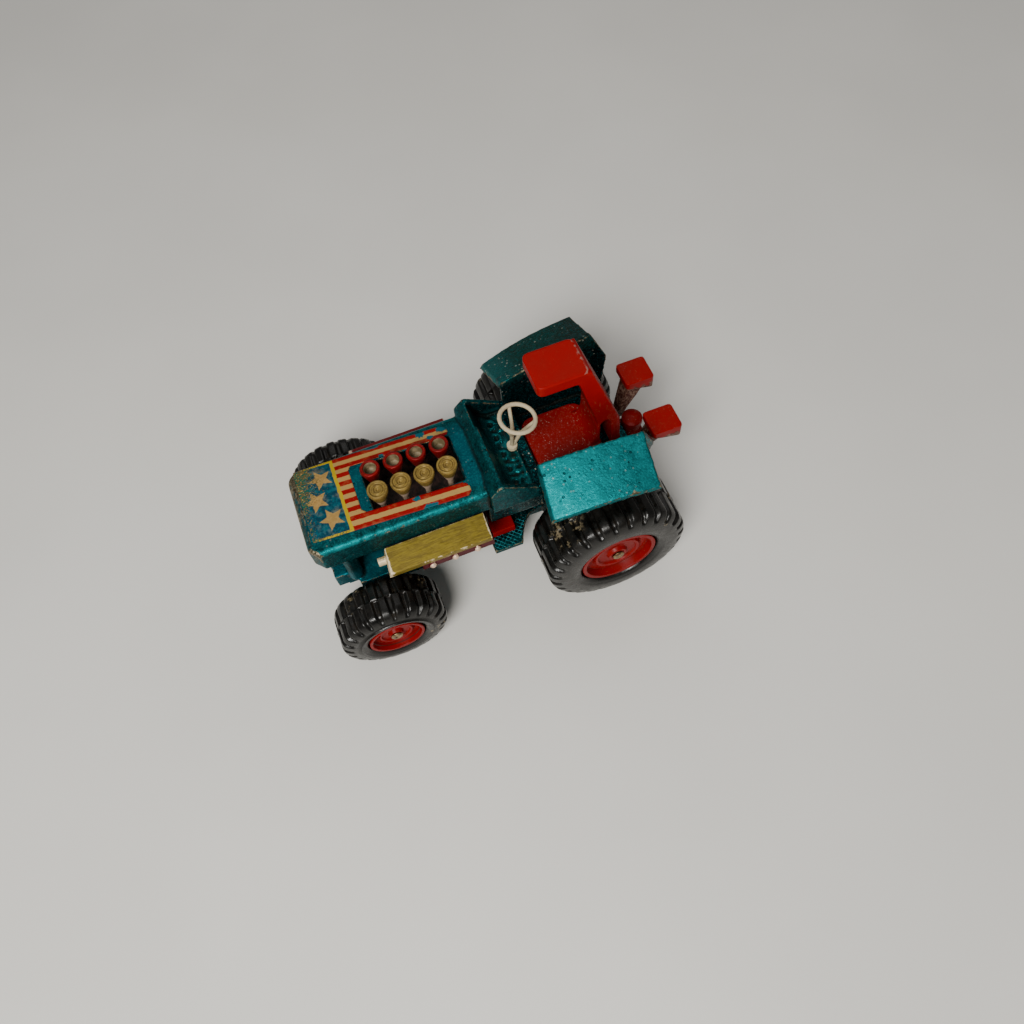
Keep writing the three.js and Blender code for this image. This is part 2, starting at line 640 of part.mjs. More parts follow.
function axle(name, w, axleX) {
  const length = 2 * w.hubOuter;
  const head = (y) => {
    const { radius, thickness } = AXLE_HEAD;
    const geometry = new THREE.CylinderGeometry(radius, radius, thickness, AXLE_SIDES);
    geometry.translate(0, y, 0);
    return solid(geometry);
  };
  const headY = w.hubOuter - 0.9 + 0.12 + AXLE_HEAD.thickness / 2;
  const bar = crossBar(0, 0, AXLE_RADIUS, length - 1.2);
  const mesh = add(name, join(bar, head(headY), head(-headY)), steel);
  mesh.position.set(axleX, 0, w.radius);
}

// ---- assembly -----------------------------------------------------------------------------
add('body_casting', bodyCasting(), teal);
add('chassis_casting', chassisCasting(), teal);
add('hood_label', hoodLabel(), paper);
add('engine_block', engineBlock(), greyPlastic);
const cover = rockerCover();
add('rocker_cover_left', cover, gold);
add('rocker_cover_right', mirrorY(cover), redPaint);
const manifold = exhaustManifold();
add('exhaust_manifold_left', manifold, maroon);
add('exhaust_manifold_right', mirrorY(manifold), maroon);
for (const [side, sign, material] of [['left', 1, gold], ['right', -1, redPaint]]) {
  for (let i = 0; i < 4; i += 1) {
    const x = TRUMPET.firstX - i * TRUMPET.pitch;
    const horn = turned(trumpet(sign > 0), TRUMPET.sides, x, sign * TRUMPET.row);
    add(`intake_trumpet_${side}_${i + 1}`, horn, material);
  }
}
add('seat_moulding', seatMoulding(), redPlastic);
const lamp = tailLamp();
add('tail_lamp_left', lamp, redPlastic);
add('tail_lamp_right', mirrorY(lamp), redPlastic);
add('tow_hitch', towHitch(), redPlastic);
add('transmission_block', transmissionBlock(), redPlastic);
add('steering_wheel', steeringWheel(), creamPlastic);
axle('rear_axle', REAR_WHEEL, REAR_AXLE_X);
axle('front_axle', FRONT_WHEEL, FRONT_AXLE_X);
wheel('rear_left', REAR_WHEEL, REAR_AXLE_X, 1);
wheel('rear_right', REAR_WHEEL, REAR_AXLE_X, -1);
wheel('front_left', FRONT_WHEEL, FRONT_AXLE_X, 1);
wheel('front_right', FRONT_WHEEL, FRONT_AXLE_X, -1);

// The origin lies below the middle of the whole model, from the lamps to the front tyres.
tractor.position.x = -(FRONT_AXLE_X + FRONT_WHEEL.radius + LAMP.rear) / 2;

export default tractor;
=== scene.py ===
"""Looks of a worn die-cast toy tractor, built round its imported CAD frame.

Lengths are in metres. Places named in millimetres use the drawing's own numbers, in which
the rear axle lies at x = -24; at() turns them into the frame's metres.
"""

import math
import random
from types import SimpleNamespace

import bmesh
import bpy
import numpy as np
from mathutils import Matrix, Vector


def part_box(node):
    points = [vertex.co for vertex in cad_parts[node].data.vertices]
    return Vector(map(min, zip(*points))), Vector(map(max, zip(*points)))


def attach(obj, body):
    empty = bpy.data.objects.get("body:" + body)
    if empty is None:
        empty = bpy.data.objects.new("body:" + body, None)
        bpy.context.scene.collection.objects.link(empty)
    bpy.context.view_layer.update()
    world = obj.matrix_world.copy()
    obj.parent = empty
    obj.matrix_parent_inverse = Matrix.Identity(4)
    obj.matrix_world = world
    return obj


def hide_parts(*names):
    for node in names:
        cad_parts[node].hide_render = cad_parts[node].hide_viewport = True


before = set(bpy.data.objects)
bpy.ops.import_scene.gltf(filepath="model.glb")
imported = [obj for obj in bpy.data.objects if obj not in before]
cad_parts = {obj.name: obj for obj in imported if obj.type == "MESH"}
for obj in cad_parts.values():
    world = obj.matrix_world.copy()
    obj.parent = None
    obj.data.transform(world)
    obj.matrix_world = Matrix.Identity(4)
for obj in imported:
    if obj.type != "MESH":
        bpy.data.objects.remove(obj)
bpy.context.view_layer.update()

MM = 0.001
SEED = 11
SIDES = (("left", 1), ("right", -1))
FULL_EDGE = 0.22  # how far out of its neighbours, in millimetres, a vertex counts as a full edge

# ---- places taken from the frame ----
DRAWN_REAR_AXLE_X = -24.0


def middle(node):
    low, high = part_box(node)
    return (low + high) / 2


SHIFT = middle("rear_axle").x - DRAWN_REAR_AXLE_X * MM


def at(x, y, z):
    """A point of the drawing, in millimetres, as a point of the frame, in metres."""
    return Vector((x * MM + SHIFT, y * MM, z * MM))


# ---- mesh helpers ----
def smoothstep(low, high, value):
    t = min(max((value - low) / (high - low), 0), 1)
    return t * t * (3 - 2 * t)


def link(name, data):
    thing = bpy.data.objects.new(name, data)
    bpy.context.scene.collection.objects.link(thing)
    return thing


def mesh_from(name, points, faces):
    mesh = bpy.data.meshes.new(name)
    mesh.from_pydata([tuple(p) for p in points], [], faces)
    mesh.validate()
    return mesh


def apply_modifiers(thing):
    graph = bpy.context.evaluated_depsgraph_get()
    graph.update()
    made = bpy.data.meshes.new_from_object(thing.evaluated_get(graph))
    thing.modifiers.clear()
    thing.data = made


def smooth_shade(mesh):
    mesh.polygons.foreach_set("use_smooth", [True] * len(mesh.polygons))


def face_outward(mesh, weld=0.0):
    """Joins points that lie closer together than weld, then turns every face outward."""
    work = bmesh.new()
    work.from_mesh(mesh)
    if weld:
        bmesh.ops.remove_doubles(work, verts=work.verts, dist=weld)
    bmesh.ops.recalc_face_normals(work, faces=work.faces)
    work.to_mesh(mesh)
    work.free()


def vertex_places(mesh):
    places = np.empty(len(mesh.vertices) * 3)
    mesh.vertices.foreach_get("co", places)
    return places.reshape(-1, 3)


def store_attribute(mesh, name, values):
    store = mesh.attributes.new(name, "FLOAT", "POINT")
    store.data.foreach_set("value", values)


def ring_faces(turns, rows, closed):
    """The faces round a turned piece, whose section has so many points and may close on itself."""
    faces = []
    for i in range(turns):
        j = (i + 1) % turns
        for k in range(rows if closed else rows - 1):
            m = (k + 1) % rows
            faces.append((i * rows + k, j * rows + k, j * rows + m, i * rows + m))
    return faces


def add_box(work, low, high):
    """Adds a closed block to a bmesh."""
    size = high - low
    place = Matrix.Translation((low + high) / 2) @ Matrix.Diagonal((*size, 1))
    bmesh.ops.create_cube(work, size=1, matrix=place)


def add_ball(work, centre, radii):
    place = Matrix.Translation(centre) @ Matrix.Diagonal((*radii, 1))
    bmesh.ops.create_icosphere(work, subdivisions=3, radius=1, matrix=place)


def add_ring(work, centre, radius, tube):
    """Adds a closed ring, lying flat, to a bmesh."""
    turns, steps = 24, 8
    rows = []
    for i in range(turns):
        along = 2 * math.pi * i / turns
        out = Vector((math.cos(along), math.sin(along), 0))
        for k in range(steps):
            angle = 2 * math.pi * k / steps
            rise = Vector((0, 0, tube * math.sin(angle)))
            rows.append(work.verts.new(centre + out * (radius + tube * math.cos(angle)) + rise))
    made = [work.faces.new([rows[k] for k in face]) for face in ring_faces(turns, steps, True)]
    bmesh.ops.recalc_face_normals(work, faces=made)


def add_prism(work, outline, y0, y1):
    """Adds an [x, z] outline of the drawing, extruded from y0 to y1."""
    near = [work.verts.new(at(x, y0, z)) for x, z in outline]
    far = [work.verts.new(at(x, y1, z)) for x, z in outline]
    count = len(outline)
    sides = [(near[i], near[(i + 1) % count], far[(i + 1) % count], far[i]) for i in range(count)]
    made = [work.faces.new(side) for side in sides]
    made += [work.faces.new(list(reversed(near))), work.faces.new(far)]
    bmesh.ops.recalc_face_normals(work, faces=made)


def bend(start, corner, end, steps):
    """Points of a curve from start to end, drawn toward the corner between them."""
    start, corner, end = Vector(start), Vector(corner), Vector(end)
    shares = [i / steps for i in range(steps + 1)]
    return [tuple((1 - t) ** 2 * start + 2 * t * (1 - t) * corner + t ** 2 * end) for t in shares]


def fillet(corner, toward_a, toward_b):
    """The outline of a hollow fillet between two straight sides that meet at corner."""
    return [corner] + bend(toward_a, corner, toward_b, 8)


def shape_attributes(thing, rounds):
    """Writes edge and hollow, 0 to 1: how far a vertex stands out of, or below, its neighbours."""
    mesh = thing.data
    count = len(mesh.vertices)
    places = vertex_places(mesh)
    normals = np.empty(count * 3)
    mesh.vertex_normals.foreach_get("vector", normals)
    normals = normals.reshape(-1, 3)
    pairs = np.empty(len(mesh.edges) * 2, dtype=np.int64)
    mesh.edges.foreach_get("vertices", pairs)
    first, second = pairs[0::2], pairs[1::2]
    links = np.bincount(first, minlength=count) + np.bincount(second, minlength=count)
    smooth = places.copy()
    for _ in range(rounds):
        total = np.stack([
            np.bincount(first, weights=smooth[second, k], minlength=count)
            + np.bincount(second, weights=smooth[first, k], minlength=count) for k in range(3)
        ], axis=1)
        smooth = total / np.maximum(links, 1)[:, None]
    height = ((places - smooth) * normals).sum(axis=1) / (FULL_EDGE * MM)
    store_attribute(mesh, "edge", np.clip(height, 0, 1).astype(np.float32))
    store_attribute(mesh, "hollow", np.clip(-height, 0, 1).astype(np.float32))


def rub_attribute(thing, zones=()):
    """Writes rub, -1 to 1: each zone is an ellipsoid's centre, radii and wear, below 0 if spared."""
    places = vertex_places(thing.data)
    rub = np.zeros(len(places))
    for centre, radii, strength in zones:
        away = (places - np.array(at(*centre))) / (np.array(radii) * MM)
        near = strength * np.clip(1.4 - np.linalg.norm(away, axis=1), 0, 1)
        rub = np.maximum(rub, near) if strength > 0 else rub + near
    store_attribute(thing.data, "rub", np.clip(rub, -1, 1).astype(np.float32))


def cast(node, voxel, smoothing, extras=None, zones=()):
    """A soft-edged piece in the shape of a CAD node: remeshed finely and eased as a casting is."""
    work = bmesh.new()
    work.from_mesh(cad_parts[node].data)
    bmesh.ops.remove_doubles(work, verts=work.verts, dist=1e-6)
    if extras:
        extras(work)
    mesh = bpy.data.meshes.new(node + "_surface")
    work.to_mesh(mesh)
    work.free()
    piece = link(node + "_finish", mesh)
    remesh = piece.modifiers.new("remesh", "REMESH")
    remesh.mode = "VOXEL"
    remesh.voxel_size = voxel * MM
    ease = piece.modifiers.new("ease", "SMOOTH")
    ease.factor = 0.5
    ease.iterations = smoothing
    apply_modifiers(piece)
    smooth_shade(piece.data)
    shape_attributes(piece, 10)
    rub_attribute(piece, zones)
    return piece


def lathe(name, profile, sides, centre, axis="Z", closed=False):
    """A turned piece: profile is [radius, along] in millimetres, about a line through centre."""
    points = []
    for i in range(sides):
        angle = 2 * math.pi * i / sides
        for radius, along in profile:
            u, v = radius * math.cos(angle) * MM, radius * math.sin(angle) * MM
            offset = Vector((u, v, along * MM)) if axis == "Z" else Vector((u, along * MM, -v))
            points.append(centre + offset)
    mesh = mesh_from(name, points, ring_faces(sides, len(profile), closed))
    face_outward(mesh, weld=1e-7)
    smooth_shade(mesh)
    return link(name, mesh)


def rounded(profile, radius, steps=4):
    """The same profile with each inner corner turned into a short arc of about that radius."""
    points = [Vector(p) for p in profile]
    made = [tuple(points[0])]
    for before, point, after in zip(points, points[1:], points[2:]):
        reach_in = min(radius, (before - point).length * 0.45)
        reach_out = min(radius, (after - point).length * 0.45)
        start = point + (before - point).normalized() * reach_in
        end = point + (after - point).normalized() * reach_out
        made += bend(start, point, end, steps)
    return made + [tuple(points[-1])]


def finish_piece(piece, body, slot, materials, nodes=()):
    for material in materials:
        piece.data.materials.append(material)
    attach(piece, body)
    if nodes:
        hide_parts(*nodes)
    return piece


# ---- shader helper ----
class Shader:
    """A node material. Textures use drawing millimetres, from the piece's own coordinates."""

    def __init__(self, name, **sockets):
        self.material = bpy.data.materials.new(name)
        self.material.use_nodes = True
        self.tree = self.material.node_tree
        self.tree.nodes.clear()
        output = self.tree.nodes.new("ShaderNodeOutputMaterial")
        self.surface = self.node("BsdfPrincipled", **sockets)
        self.tree.links.new(self.surface.outputs[0], output.inputs[0])
        shift = (-SHIFT / MM, 0, 0)
        coordinates = self.node("TexCoord").outputs["Object"]
        self.place = self.node("Mapping", Vector=coordinates, Scale=(1 / MM,) * 3,
                               Location=shift).outputs[0]
        split = self.node("SeparateXYZ", Vector=self.place)
        self.x, self.y, self.z = split.outputs

    def plug(self, socket, value):
        if isinstance(value, bpy.types.NodeSocket):
            self.tree.links.new(value, socket)
        elif isinstance(value, tuple) and len(value) == 3 and socket.type == "RGBA":
            socket.default_value = (*value, 1)
        else:
            socket.default_value = value

    def node(self, kind, settings=None, **sockets):
        made = self.tree.nodes.new("ShaderNode" + kind)
        for name, value in (settings or {}).items():
            setattr(made, name, value)
        for name, value in sockets.items():
            self.plug(made.inputs[name.replace("_", " ")], value)
        return made

    def math(self, operation, a, b=0.0, c=0.0):
        made = self.node("Math", {"operation": operation})
        for socket, value in zip(made.inputs, (a, b, c)):
            self.plug(socket, value)
        return made.outputs[0]

    def multiply_add(self, a, b, c):
        return self.math("MULTIPLY_ADD", a, b, c)

    def most(self, a, b):
        return self.math("MAXIMUM", a, b)

    def product(self, first, *others):
        for other in others:
            first = self.math("MULTIPLY", first, other)
        return first

    def span(self, value, low, high, to_low=0.0, to_high=1.0):
        """value eased from low..high to to_low..to_high."""
        made = self.node("MapRange", {"interpolation_type": "SMOOTHSTEP"}, Value=value)
        names = ("From Min", "From Max", "To Min", "To Max")
        for name, number in zip(names, (low, high, to_low, to_high)):
            self.plug(made.inputs[name], number)
        return made.outputs[0]

    def above(self, value, place, half):
        """0 where value is below place and 1 above it, eased over half on each side."""
        return self.span(value, place - half, place + half)

    def noise(self, scale, detail=2.0, roughness=0.5, place=None):
        sockets = {"Vector": place or self.place, "Scale": scale, "Detail": detail}
        return self.node("TexNoise", Roughness=roughness, **sockets).outputs[0]

    def stretched(self, x, y, z):
        return self.node("Mapping", Vector=self.place, Scale=(x, y, z)).outputs[0]

    def cells(self, scale, output="Distance"):
        made = self.node("TexVoronoi", {"feature": "F1"}, Vector=self.place, Scale=scale)
        return made.outputs[output]

    def attribute(self, name):
        return self.node("Attribute", {"attribute_name": name}).outputs["Fac"]

    def blend(self, share, a, b):
        made = self.node("Mix", {"data_type": "RGBA"})
        self.plug(made.inputs[0], share)
        self.plug(made.inputs[6], a)
        self.plug(made.inputs[7], b)
        return made.outputs[2]

    def tint(self, base, colour, *shares):
        """base with a colour laid over it, as strongly as the product of the shares."""
        return self.blend(self.product(*shares), base, colour)

    def colour(self, value):
        self.plug(self.surface.inputs["Base Color"], value)

    def roughness(self, value):
        self.plug(self.surface.inputs["Roughness"], value)

    def bump(self, height, depth):
        made = self.node("Bump", Height=height, Distance=depth * MM, Strength=1.0)
        self.plug(self.surface.inputs["Normal"], made.outputs[0])


# ---- colours, linear ----
TEAL = (0.001, 0.070, 0.074)
TEAL_DEEP = (0.001, 0.030, 0.034)
TEAL_BRIGHT = (0.001, 0.25, 0.27)
TEAL_BLUE = (0.003, 0.085, 0.115)
TEAL_GREEN = (0.004, 0.048, 0.034)
CARRIER_BLUE = (0.002, 0.125, 0.165)
# near black of pits, also used for painted shade
PIT_AND_SHADE = (0.001, 0.008, 0.010)
# dark grime for hollows, also used for painted shade on the right mudguard's rear
GRIME_AND_SHADE = (0.012, 0.010, 0.007)
BARE = (0.27, 0.23, 0.15)
PRIMER = (0.075, 0.062, 0.036)
SPECK = (0.42, 0.46, 0.40)
RED = (0.29, 0.0015, 0.0015)
RED_DARK = (0.15, 0.001, 0.001)
LAMP_RED = (0.25, 0.0012, 0.0012)
BLOCK_RED = (0.34, 0.0015, 0.0015)
HITCH_RED = (0.18, 0.0015, 0.0015)
HUB_RED = (0.230, 0.002, 0.002)
HUB_RED_DARK = (0.085, 0.001, 0.001)
RED_GRIME = (0.03, 0.004, 0.003)
DUST = (0.34, 0.27, 0.22)
DIRT = (0.19, 0.125, 0.09)
DIRT_DARK = (0.028, 0.007, 0.004)
CREAM = (0.60, 0.51, 0.34)
CREAM_DARK = (0.30, 0.23, 0.12)
COVER_GOLD = (0.225, 0.165, 0.014)
COVER_GOLD_DARK = (0.130, 0.090, 0.011)
COVER_GOLD_EDGE = (0.72, 0.58, 0.36)
COVER_RED = (0.24, 0.010, 0.012)
COVER_RED_DARK = (0.13, 0.006, 0.009)
DISH_GOLD = (0.30, 0.205, 0.048)
DISH_GOLD_DARK = (0.165, 0.105, 0.028)
CUP_RED = (0.24, 0.003, 0.003)
CUP_RED_DARK = (0.12, 0.002, 0.002)
BORE = (0.115, 0.085, 0.040)
BORE_LIGHT = (0.30, 0.225, 0.13)
MAROON = (0.085, 0.003, 0.008)
MAROON_DARK = (0.06, 0.003, 0.007)
PINK = (0.74, 0.52, 0.38)
COAT_GRIME = (0.020, 0.012, 0.006)
ENGINE = (0.010, 0.006, 0.005)
ENGINE_LIGHT = (0.075, 0.035, 0.028)
TYRE_BLACK = (0.0014, 0.0012, 0.0009)
TYRE_BROWN = (0.0045, 0.0040, 0.0031)
TYRE_DUST = (0.026, 0.017, 0.009)
TYRE_STAIN = (0.24, 0.19, 0.11)
STEEL = (0.12, 0.07, 0.035)
STEEL_BRIGHT = (0.34, 0.24, 0.12)
# painted highlight colour of the step tread's crests
RIDGE_TEAL = (0.08, 0.62, 0.68)
TABLE = (0.76, 0.745, 0.71)
TABLE_LIGHT = (0.80, 0.785, 0.75)


# ---- materials ----
def wear_mask(shader, threshold):
    """Where paint is rubbed through: on edges and rubbed zones, broken up by noise."""
    reach = shader.multiply_add(shader.attribute("rub"), 0.9, shader.attribute("edge"))
    broken = shader.multiply_add(shader.noise(0.75, 6, 0.7), 1.6, -0.8)
    return shader.span(shader.math("ADD", reach, broken), threshold, threshold + 0.2)


def specks(shader, scale, size, share, patch):
    """Round specks: that share of the cells has one, and they gather in patches."""
    spot = shader.span(shader.cells(scale), size * 0.6, size, 1, 0)
    chosen = shader.node("SeparateColor", Color=shader.cells(scale, "Color")).outputs[1]
    picked = shader.math("LESS_THAN", chosen, share)
    return shader.product(spot, picked, shader.span(shader.noise(patch, 3), 0.46, 0.58))


def teal_zones(shader):
    """Masks, 0 to 1, in drawing millimetres, of the places that get painted light and painted shade, and
    of the worn nose.
    """
    span, product = shader.span, shader.product
    x, y, z = shader.x, shader.y, shader.z
    side = shader.math("ABSOLUTE", y)
    fender = product(span(z, 38.5, 40.5), span(x, -6.5, -8.5))
    reach = shader.math("SUBTRACT", side, span(x, -8.6, -9.6, 0, 3.0))
    cockpit = product(span(reach, 13.3, 12.5), span(x, 0.2, -1.2), span(z, 47.0, 45.2))
    floor = product(span(z, 38.6, 37.6), span(x, -8.8, -8.2))
    dash = product(span(y, -5.0, -3.6), span(x, -5.0, -3.6))
    footwell = product(cockpit, shader.most(floor, dash))
    # top, left and right: the upward face and the mudguards toward and away from the light; shoulder,
    # carrier and footwell get painted light, upright, inside and hull painted shade
    return {
        "left": product(span(y, 11.5, 14), fender),
        "right": product(span(y, -11.5, -14), fender),
        "top": product(span(z, 41.4, 42.1), span(x, 2.0, 4.0)),
        "footwell": footwell,
        "inside": shader.multiply_add(footwell, -0.75, cockpit),
        "hull": product(span(side, 12.4, 11.6), span(z, 33.9, 33.0), span(x, 5.0, 3.6)),
        "nose": product(span(x, 46.4, 48.0), span(shader.noise(0.7, 5, 0.7), 0.42, 0.58)),
        "upright": product(span(z, 41.0, 39.6), span(x, -8.6, -7.6)),
        "shoulder": product(span(side, 11.0, 12.0), span(z, 39.8, 40.8), span(x, 4.0, 5.0)),
        "carrier": product(span(z, 26.0, 24.0), span(x, 27.0, 29.0)),
    }


def teal_paint():
    """Clear teal lacquer over bright metal: grainy, pitted, darker where grime settles, with painted
    highlights and painted shade laid on by place.
    """
    shader = Shader("teal_lacquer", Metallic=0.78, Specular_IOR_Level=0.12)
    span, tint = shader.span, shader.tint
    zones = teal_zones(shader)
    right, inside, footwell, carrier = (zones[k] for k in ("right", "inside", "footwell", "carrier"))
    mottle = shader.noise(0.5, 6, 0.65)
    grain = shader.node("SeparateColor", Color=shader.cells(3.4, "Color")).outputs[0]
    base = shader.blend(span(mottle, 0.34, 0.62), TEAL_DEEP, TEAL)
    # painted reflection: the hood's upward face tinted bluer
    base = tint(base, TEAL_BLUE, zones["top"], 0.85)
    # painted shade: the right mudguard, which faces away from the light, greener and darker, with a
    # painted highlight at its front
    base = tint(base, TEAL_GREEN, right, 0.85)
    ahead = shader.product(right, span(shader.x, -17, -10, 0, 0.30))
    # painted highlight on the left mudguard, which faces the light
    base = tint(base, TEAL_BRIGHT, shader.multiply_add(zones["left"], 0.35, ahead))
    # painted shade: the right mudguard darker towards its rear slope
    base = tint(base, GRIME_AND_SHADE, right, span(shader.x, -26, -33, 0, 0.5))
    # painted highlight along the hood's near shoulder
    base = tint(base, TEAL_BRIGHT, zones["shoulder"], span(mottle, 0.40, 0.60, 0.2, 0.7))
    # painted shade: the lower, upright faces darker, less so on the carrier
    base = tint(base, TEAL_DEEP, zones["upright"], shader.multiply_add(carrier, -0.6, 0.6))
    # painted light: the low front carrier coloured brighter and bluer
    base = tint(base, CARRIER_BLUE, carrier, 0.75)
    # painted light on the cockpit floor and dash
    base = tint(base, TEAL_BRIGHT, footwell, 0.35)
    base = tint(base, PRIMER, zones["nose"], 0.75)
    # painted shade: the cockpit and the hull side under the cowl nearly black
    base = tint(base, PIT_AND_SHADE, shader.most(inside, zones["hull"]), 0.9)
    base = tint(base, TEAL_BRIGHT, span(grain, 0.45, 1.0, 0, 0.32))
    pits = span(shader.cells(0.55), 0.13, 0.21, 1, 0)
    pits = shader.product(pits, span(shader.noise(0.21, 2), 0.50, 0.58))
    base = tint(base, PIT_AND_SHADE, pits, 0.65)
    shown = shader.multiply_add(shader.most(right, inside), 0.6, 0.2)
    base = tint(base, SPECK, specks(shader, 0.95, 0.30, 0.42, 0.16), shown)
    base = tint(base, GRIME_AND_SHADE, span(shader.attribute("hollow"), 0.10, 0.7, 0, 0.85))
    worn = wear_mask(shader, 0.82)
    bare = shader.blend(span(shader.noise(1.6, 4, 0.7), 0.42, 0.60), PRIMER, BARE)
    shader.colour(tint(base, bare, worn))
    gloss = span(mottle, 0.3, 0.7, 0.38, 0.54)
    glossy = shader.most(inside, footwell)
    shader.roughness(shader.multiply_add(glossy, -0.16, gloss))
    height = shader.multiply_add(grain, 0.35, shader.noise(1.9, 4, 0.6))
    height = shader.multiply_add(shader.noise(0.35, 3), 2.2, height)
    height = shader.multiply_add(pits, -1.4, height)
    shader.bump(shader.multiply_add(worn, -0.7, height), 0.07)
    return shader.material


def plastic(name, colour, dark, dust=0.6, roughness=0.45, gloss=0.02, wear=1.1,
            shaded_and_dusty_below=None, dirt_below=None):
    """Moulded plastic: faint cloudiness, fine scratches, dust specks and paler handled edges, with
    painted shade and more dust lower down when heights for it are given.
    """
    shader = Shader(name, Coat_Weight=gloss, Coat_Roughness=0.25, Specular_IOR_Level=0.12)
    span, tint = shader.span, shader.tint
    cloud = shader.noise(0.30, 4, 0.6)
    base = shader.blend(span(cloud, 0.30, 0.75, 0.2, 0.0), colour, dark)
    # painted shade: darker below the given heights, which also get more dust
    shade = span(shader.z, *shaded_and_dusty_below, 1, 0) if shaded_and_dusty_below else 0.15
    base = tint(base, dark, shade, 0.8)
    streak = shader.noise(1.0, 4, 0.7, shader.stretched(2.6, 0.5, 0.5))
    base = tint(base, DUST, span(streak, 0.60, 0.72, 0, 0.28), shade)
    powder = span(shader.noise(1.9, 6, 0.75), 0.54, 0.72, 0, 0.4)
    spots = shader.most(specks(shader, 2.3, 0.36, 0.28, 0.4), powder)
    base = tint(base, DUST, spots, shader.multiply_add(shade, dust, 0.05))
    if dirt_below:
        lowered = shader.math("ADD", shader.z, -2.0)
        ragged = shader.multiply_add(shader.noise(0.7, 4), 4.0, lowered)
        dirty = shader.blend(span(shader.noise(1.3, 6, 0.75), 0.44, 0.60), DIRT_DARK, DIRT)
        base = tint(base, dirty, span(ragged, *dirt_below, 1, 0), 0.92)
    base = tint(base, RED_GRIME, span(shader.attribute("hollow"), 0.15, 0.8, 0, 0.7))
    shader.colour(tint(base, DUST, wear_mask(shader, wear), 0.5))
    shader.roughness(span(cloud, 0.3, 0.7, roughness - 0.07, roughness + 0.1))
    shader.bump(shader.multiply_add(streak, 0.5, shader.noise(2.2, 4)), 0.03)
    return shader.material


def plated(name, colour, dark, edge_colour, stem_z=None, wear=0.72):
    """Thin coloured coating on plastic: fine streaks, rubbed through on edges and on a stem."""
    shader = Shader(name, Metallic=0.3, Specular_IOR_Level=0.25)
    span, tint = shader.span, shader.tint
    streak = shader.noise(1.0, 4, 0.65, shader.stretched(0.35, 2.6, 2.6))
    blotch = shader.noise(0.75, 4, 0.6)
    base = shader.blend(span(streak, 0.34, 0.66), dark, colour)
    base = tint(base, dark, span(blotch, 0.60, 0.72, 0, 0.5))
    base = tint(base, COAT_GRIME, span(shader.attribute("hollow"), 0.10, 0.7, 0, 0.6))
    worn = wear_mask(shader, wear)
    if stem_z is not None:
        worn = shader.most(worn, span(shader.z, stem_z - 0.5, stem_z + 0.5, 1, 0))
    shader.colour(tint(base, edge_colour, worn))
    shader.roughness(span(blotch, 0.3, 0.7, 0.34, 0.52))
    shader.bump(shader.multiply_add(streak, 0.8, blotch), 0.03)
    return shader.material


SCUFF_PLACE = (-11.4, 24.0, 33.4)  # a pale scuff on the left rear tyre, in drawing millimetres


def tyre_rubber():
    """Glossy black moulded tyre with brown dust between the lugs and a few pale stains."""
    shader = Shader("tyre_black", Specular_IOR_Level=0.42)
    span, product = shader.span, shader.product
    tone = shader.noise(0.5, 5, 0.65)
    base = shader.blend(span(tone, 0.35, 0.7), TYRE_BLACK, TYRE_BROWN)
    dusty = span(shader.noise(0.35, 5, 0.7), 0.48, 0.68)
    base = shader.tint(base, TYRE_DUST, dusty, span(shader.attribute("groove"), 0.3, 0.9, 0.10, 0.5))
    stain = product(span(shader.noise(0.13, 2), 0.62, 0.68), span(shader.noise(0.9, 6, 0.75), 0.54, 0.62))
    away = shader.node("VectorMath", {"operation": "DISTANCE"}, Vector=shader.place)
    away.inputs[1].default_value = SCUFF_PLACE
    scuff = span(away.outputs["Value"], 6.5, 3.5)
    scuff = product(scuff, span(shader.noise(0.55, 6, 0.65), 0.55, 0.60))
    shader.colour(shader.tint(base, TYRE_STAIN, shader.most(stain, scuff), 0.7))
    shader.roughness(span(tone, 0.3, 0.7, 0.22, 0.42))
    shader.bump(shader.noise(1.8, 5, 0.6), 0.05)
    return shader.material


def axle_steel():
    shader = Shader("brassy_steel", Metallic=0.9, Roughness=0.38)
    shader.colour(shader.blend(shader.span(shader.noise(1.2, 4), 0.35, 0.65), STEEL, STEEL_BRIGHT))
    shader.bump(shader.noise(6, 2), 0.02)
    return shader.material


def dark_plastic(name, colour, light):
    shader = Shader(name, Roughness=0.6)
    shader.colour(shader.blend(shader.span(shader.noise(0.7, 4), 0.40, 0.75), colour, light))
    shader.bump(shader.noise(2.5, 3), 0.04)
    return shader.material


# ---- the printed label ----
LABEL = SimpleNamespace(
    front=46.4, rear=6.8, half=10.9, skew=0.05, skew_x=34.0, centre=-0.93,
    strip_front=36.35, yellow=0.85, window_front=33.1, pitch=1.28, margin=0.7, band=3.0,
)
STAR = SimpleNamespace(outer=3.2, inner=1.45, spacing=5.9, x=40.4, ahead=2.4)
CHIPS = [  # worn-through places: x, across, half length, half width
    (16.9, 10.6, 1.9, 1.0), (19.9, 7.7, 1.1, 0.6), (13.6, -10.2, 1.3, 1.1), (11.4, -8.2, 1.0, 0.6),
    (8.0, -10.0, 1.5, 1.3), (24.5, -7.4, 0.8, 0.5), (26.0, -10.8, 2.2, 0.5), (44.8, -8.6, 2.6, 2.0),
]
PRINT_RED = (0.235, 0.001, 0.001)
PRINT_CREAM = (0.37, 0.225, 0.072)
PRINT_YELLOW = (0.42, 0.29, 0.003)
PRINT_BLUE = (0.002, 0.034, 0.058)
STAR_TAN = (0.31, 0.185, 0.055)
WORN_TEAL = (0.003, 0.085, 0.055)
WORN_BROWN = (0.110, 0.080, 0.028)


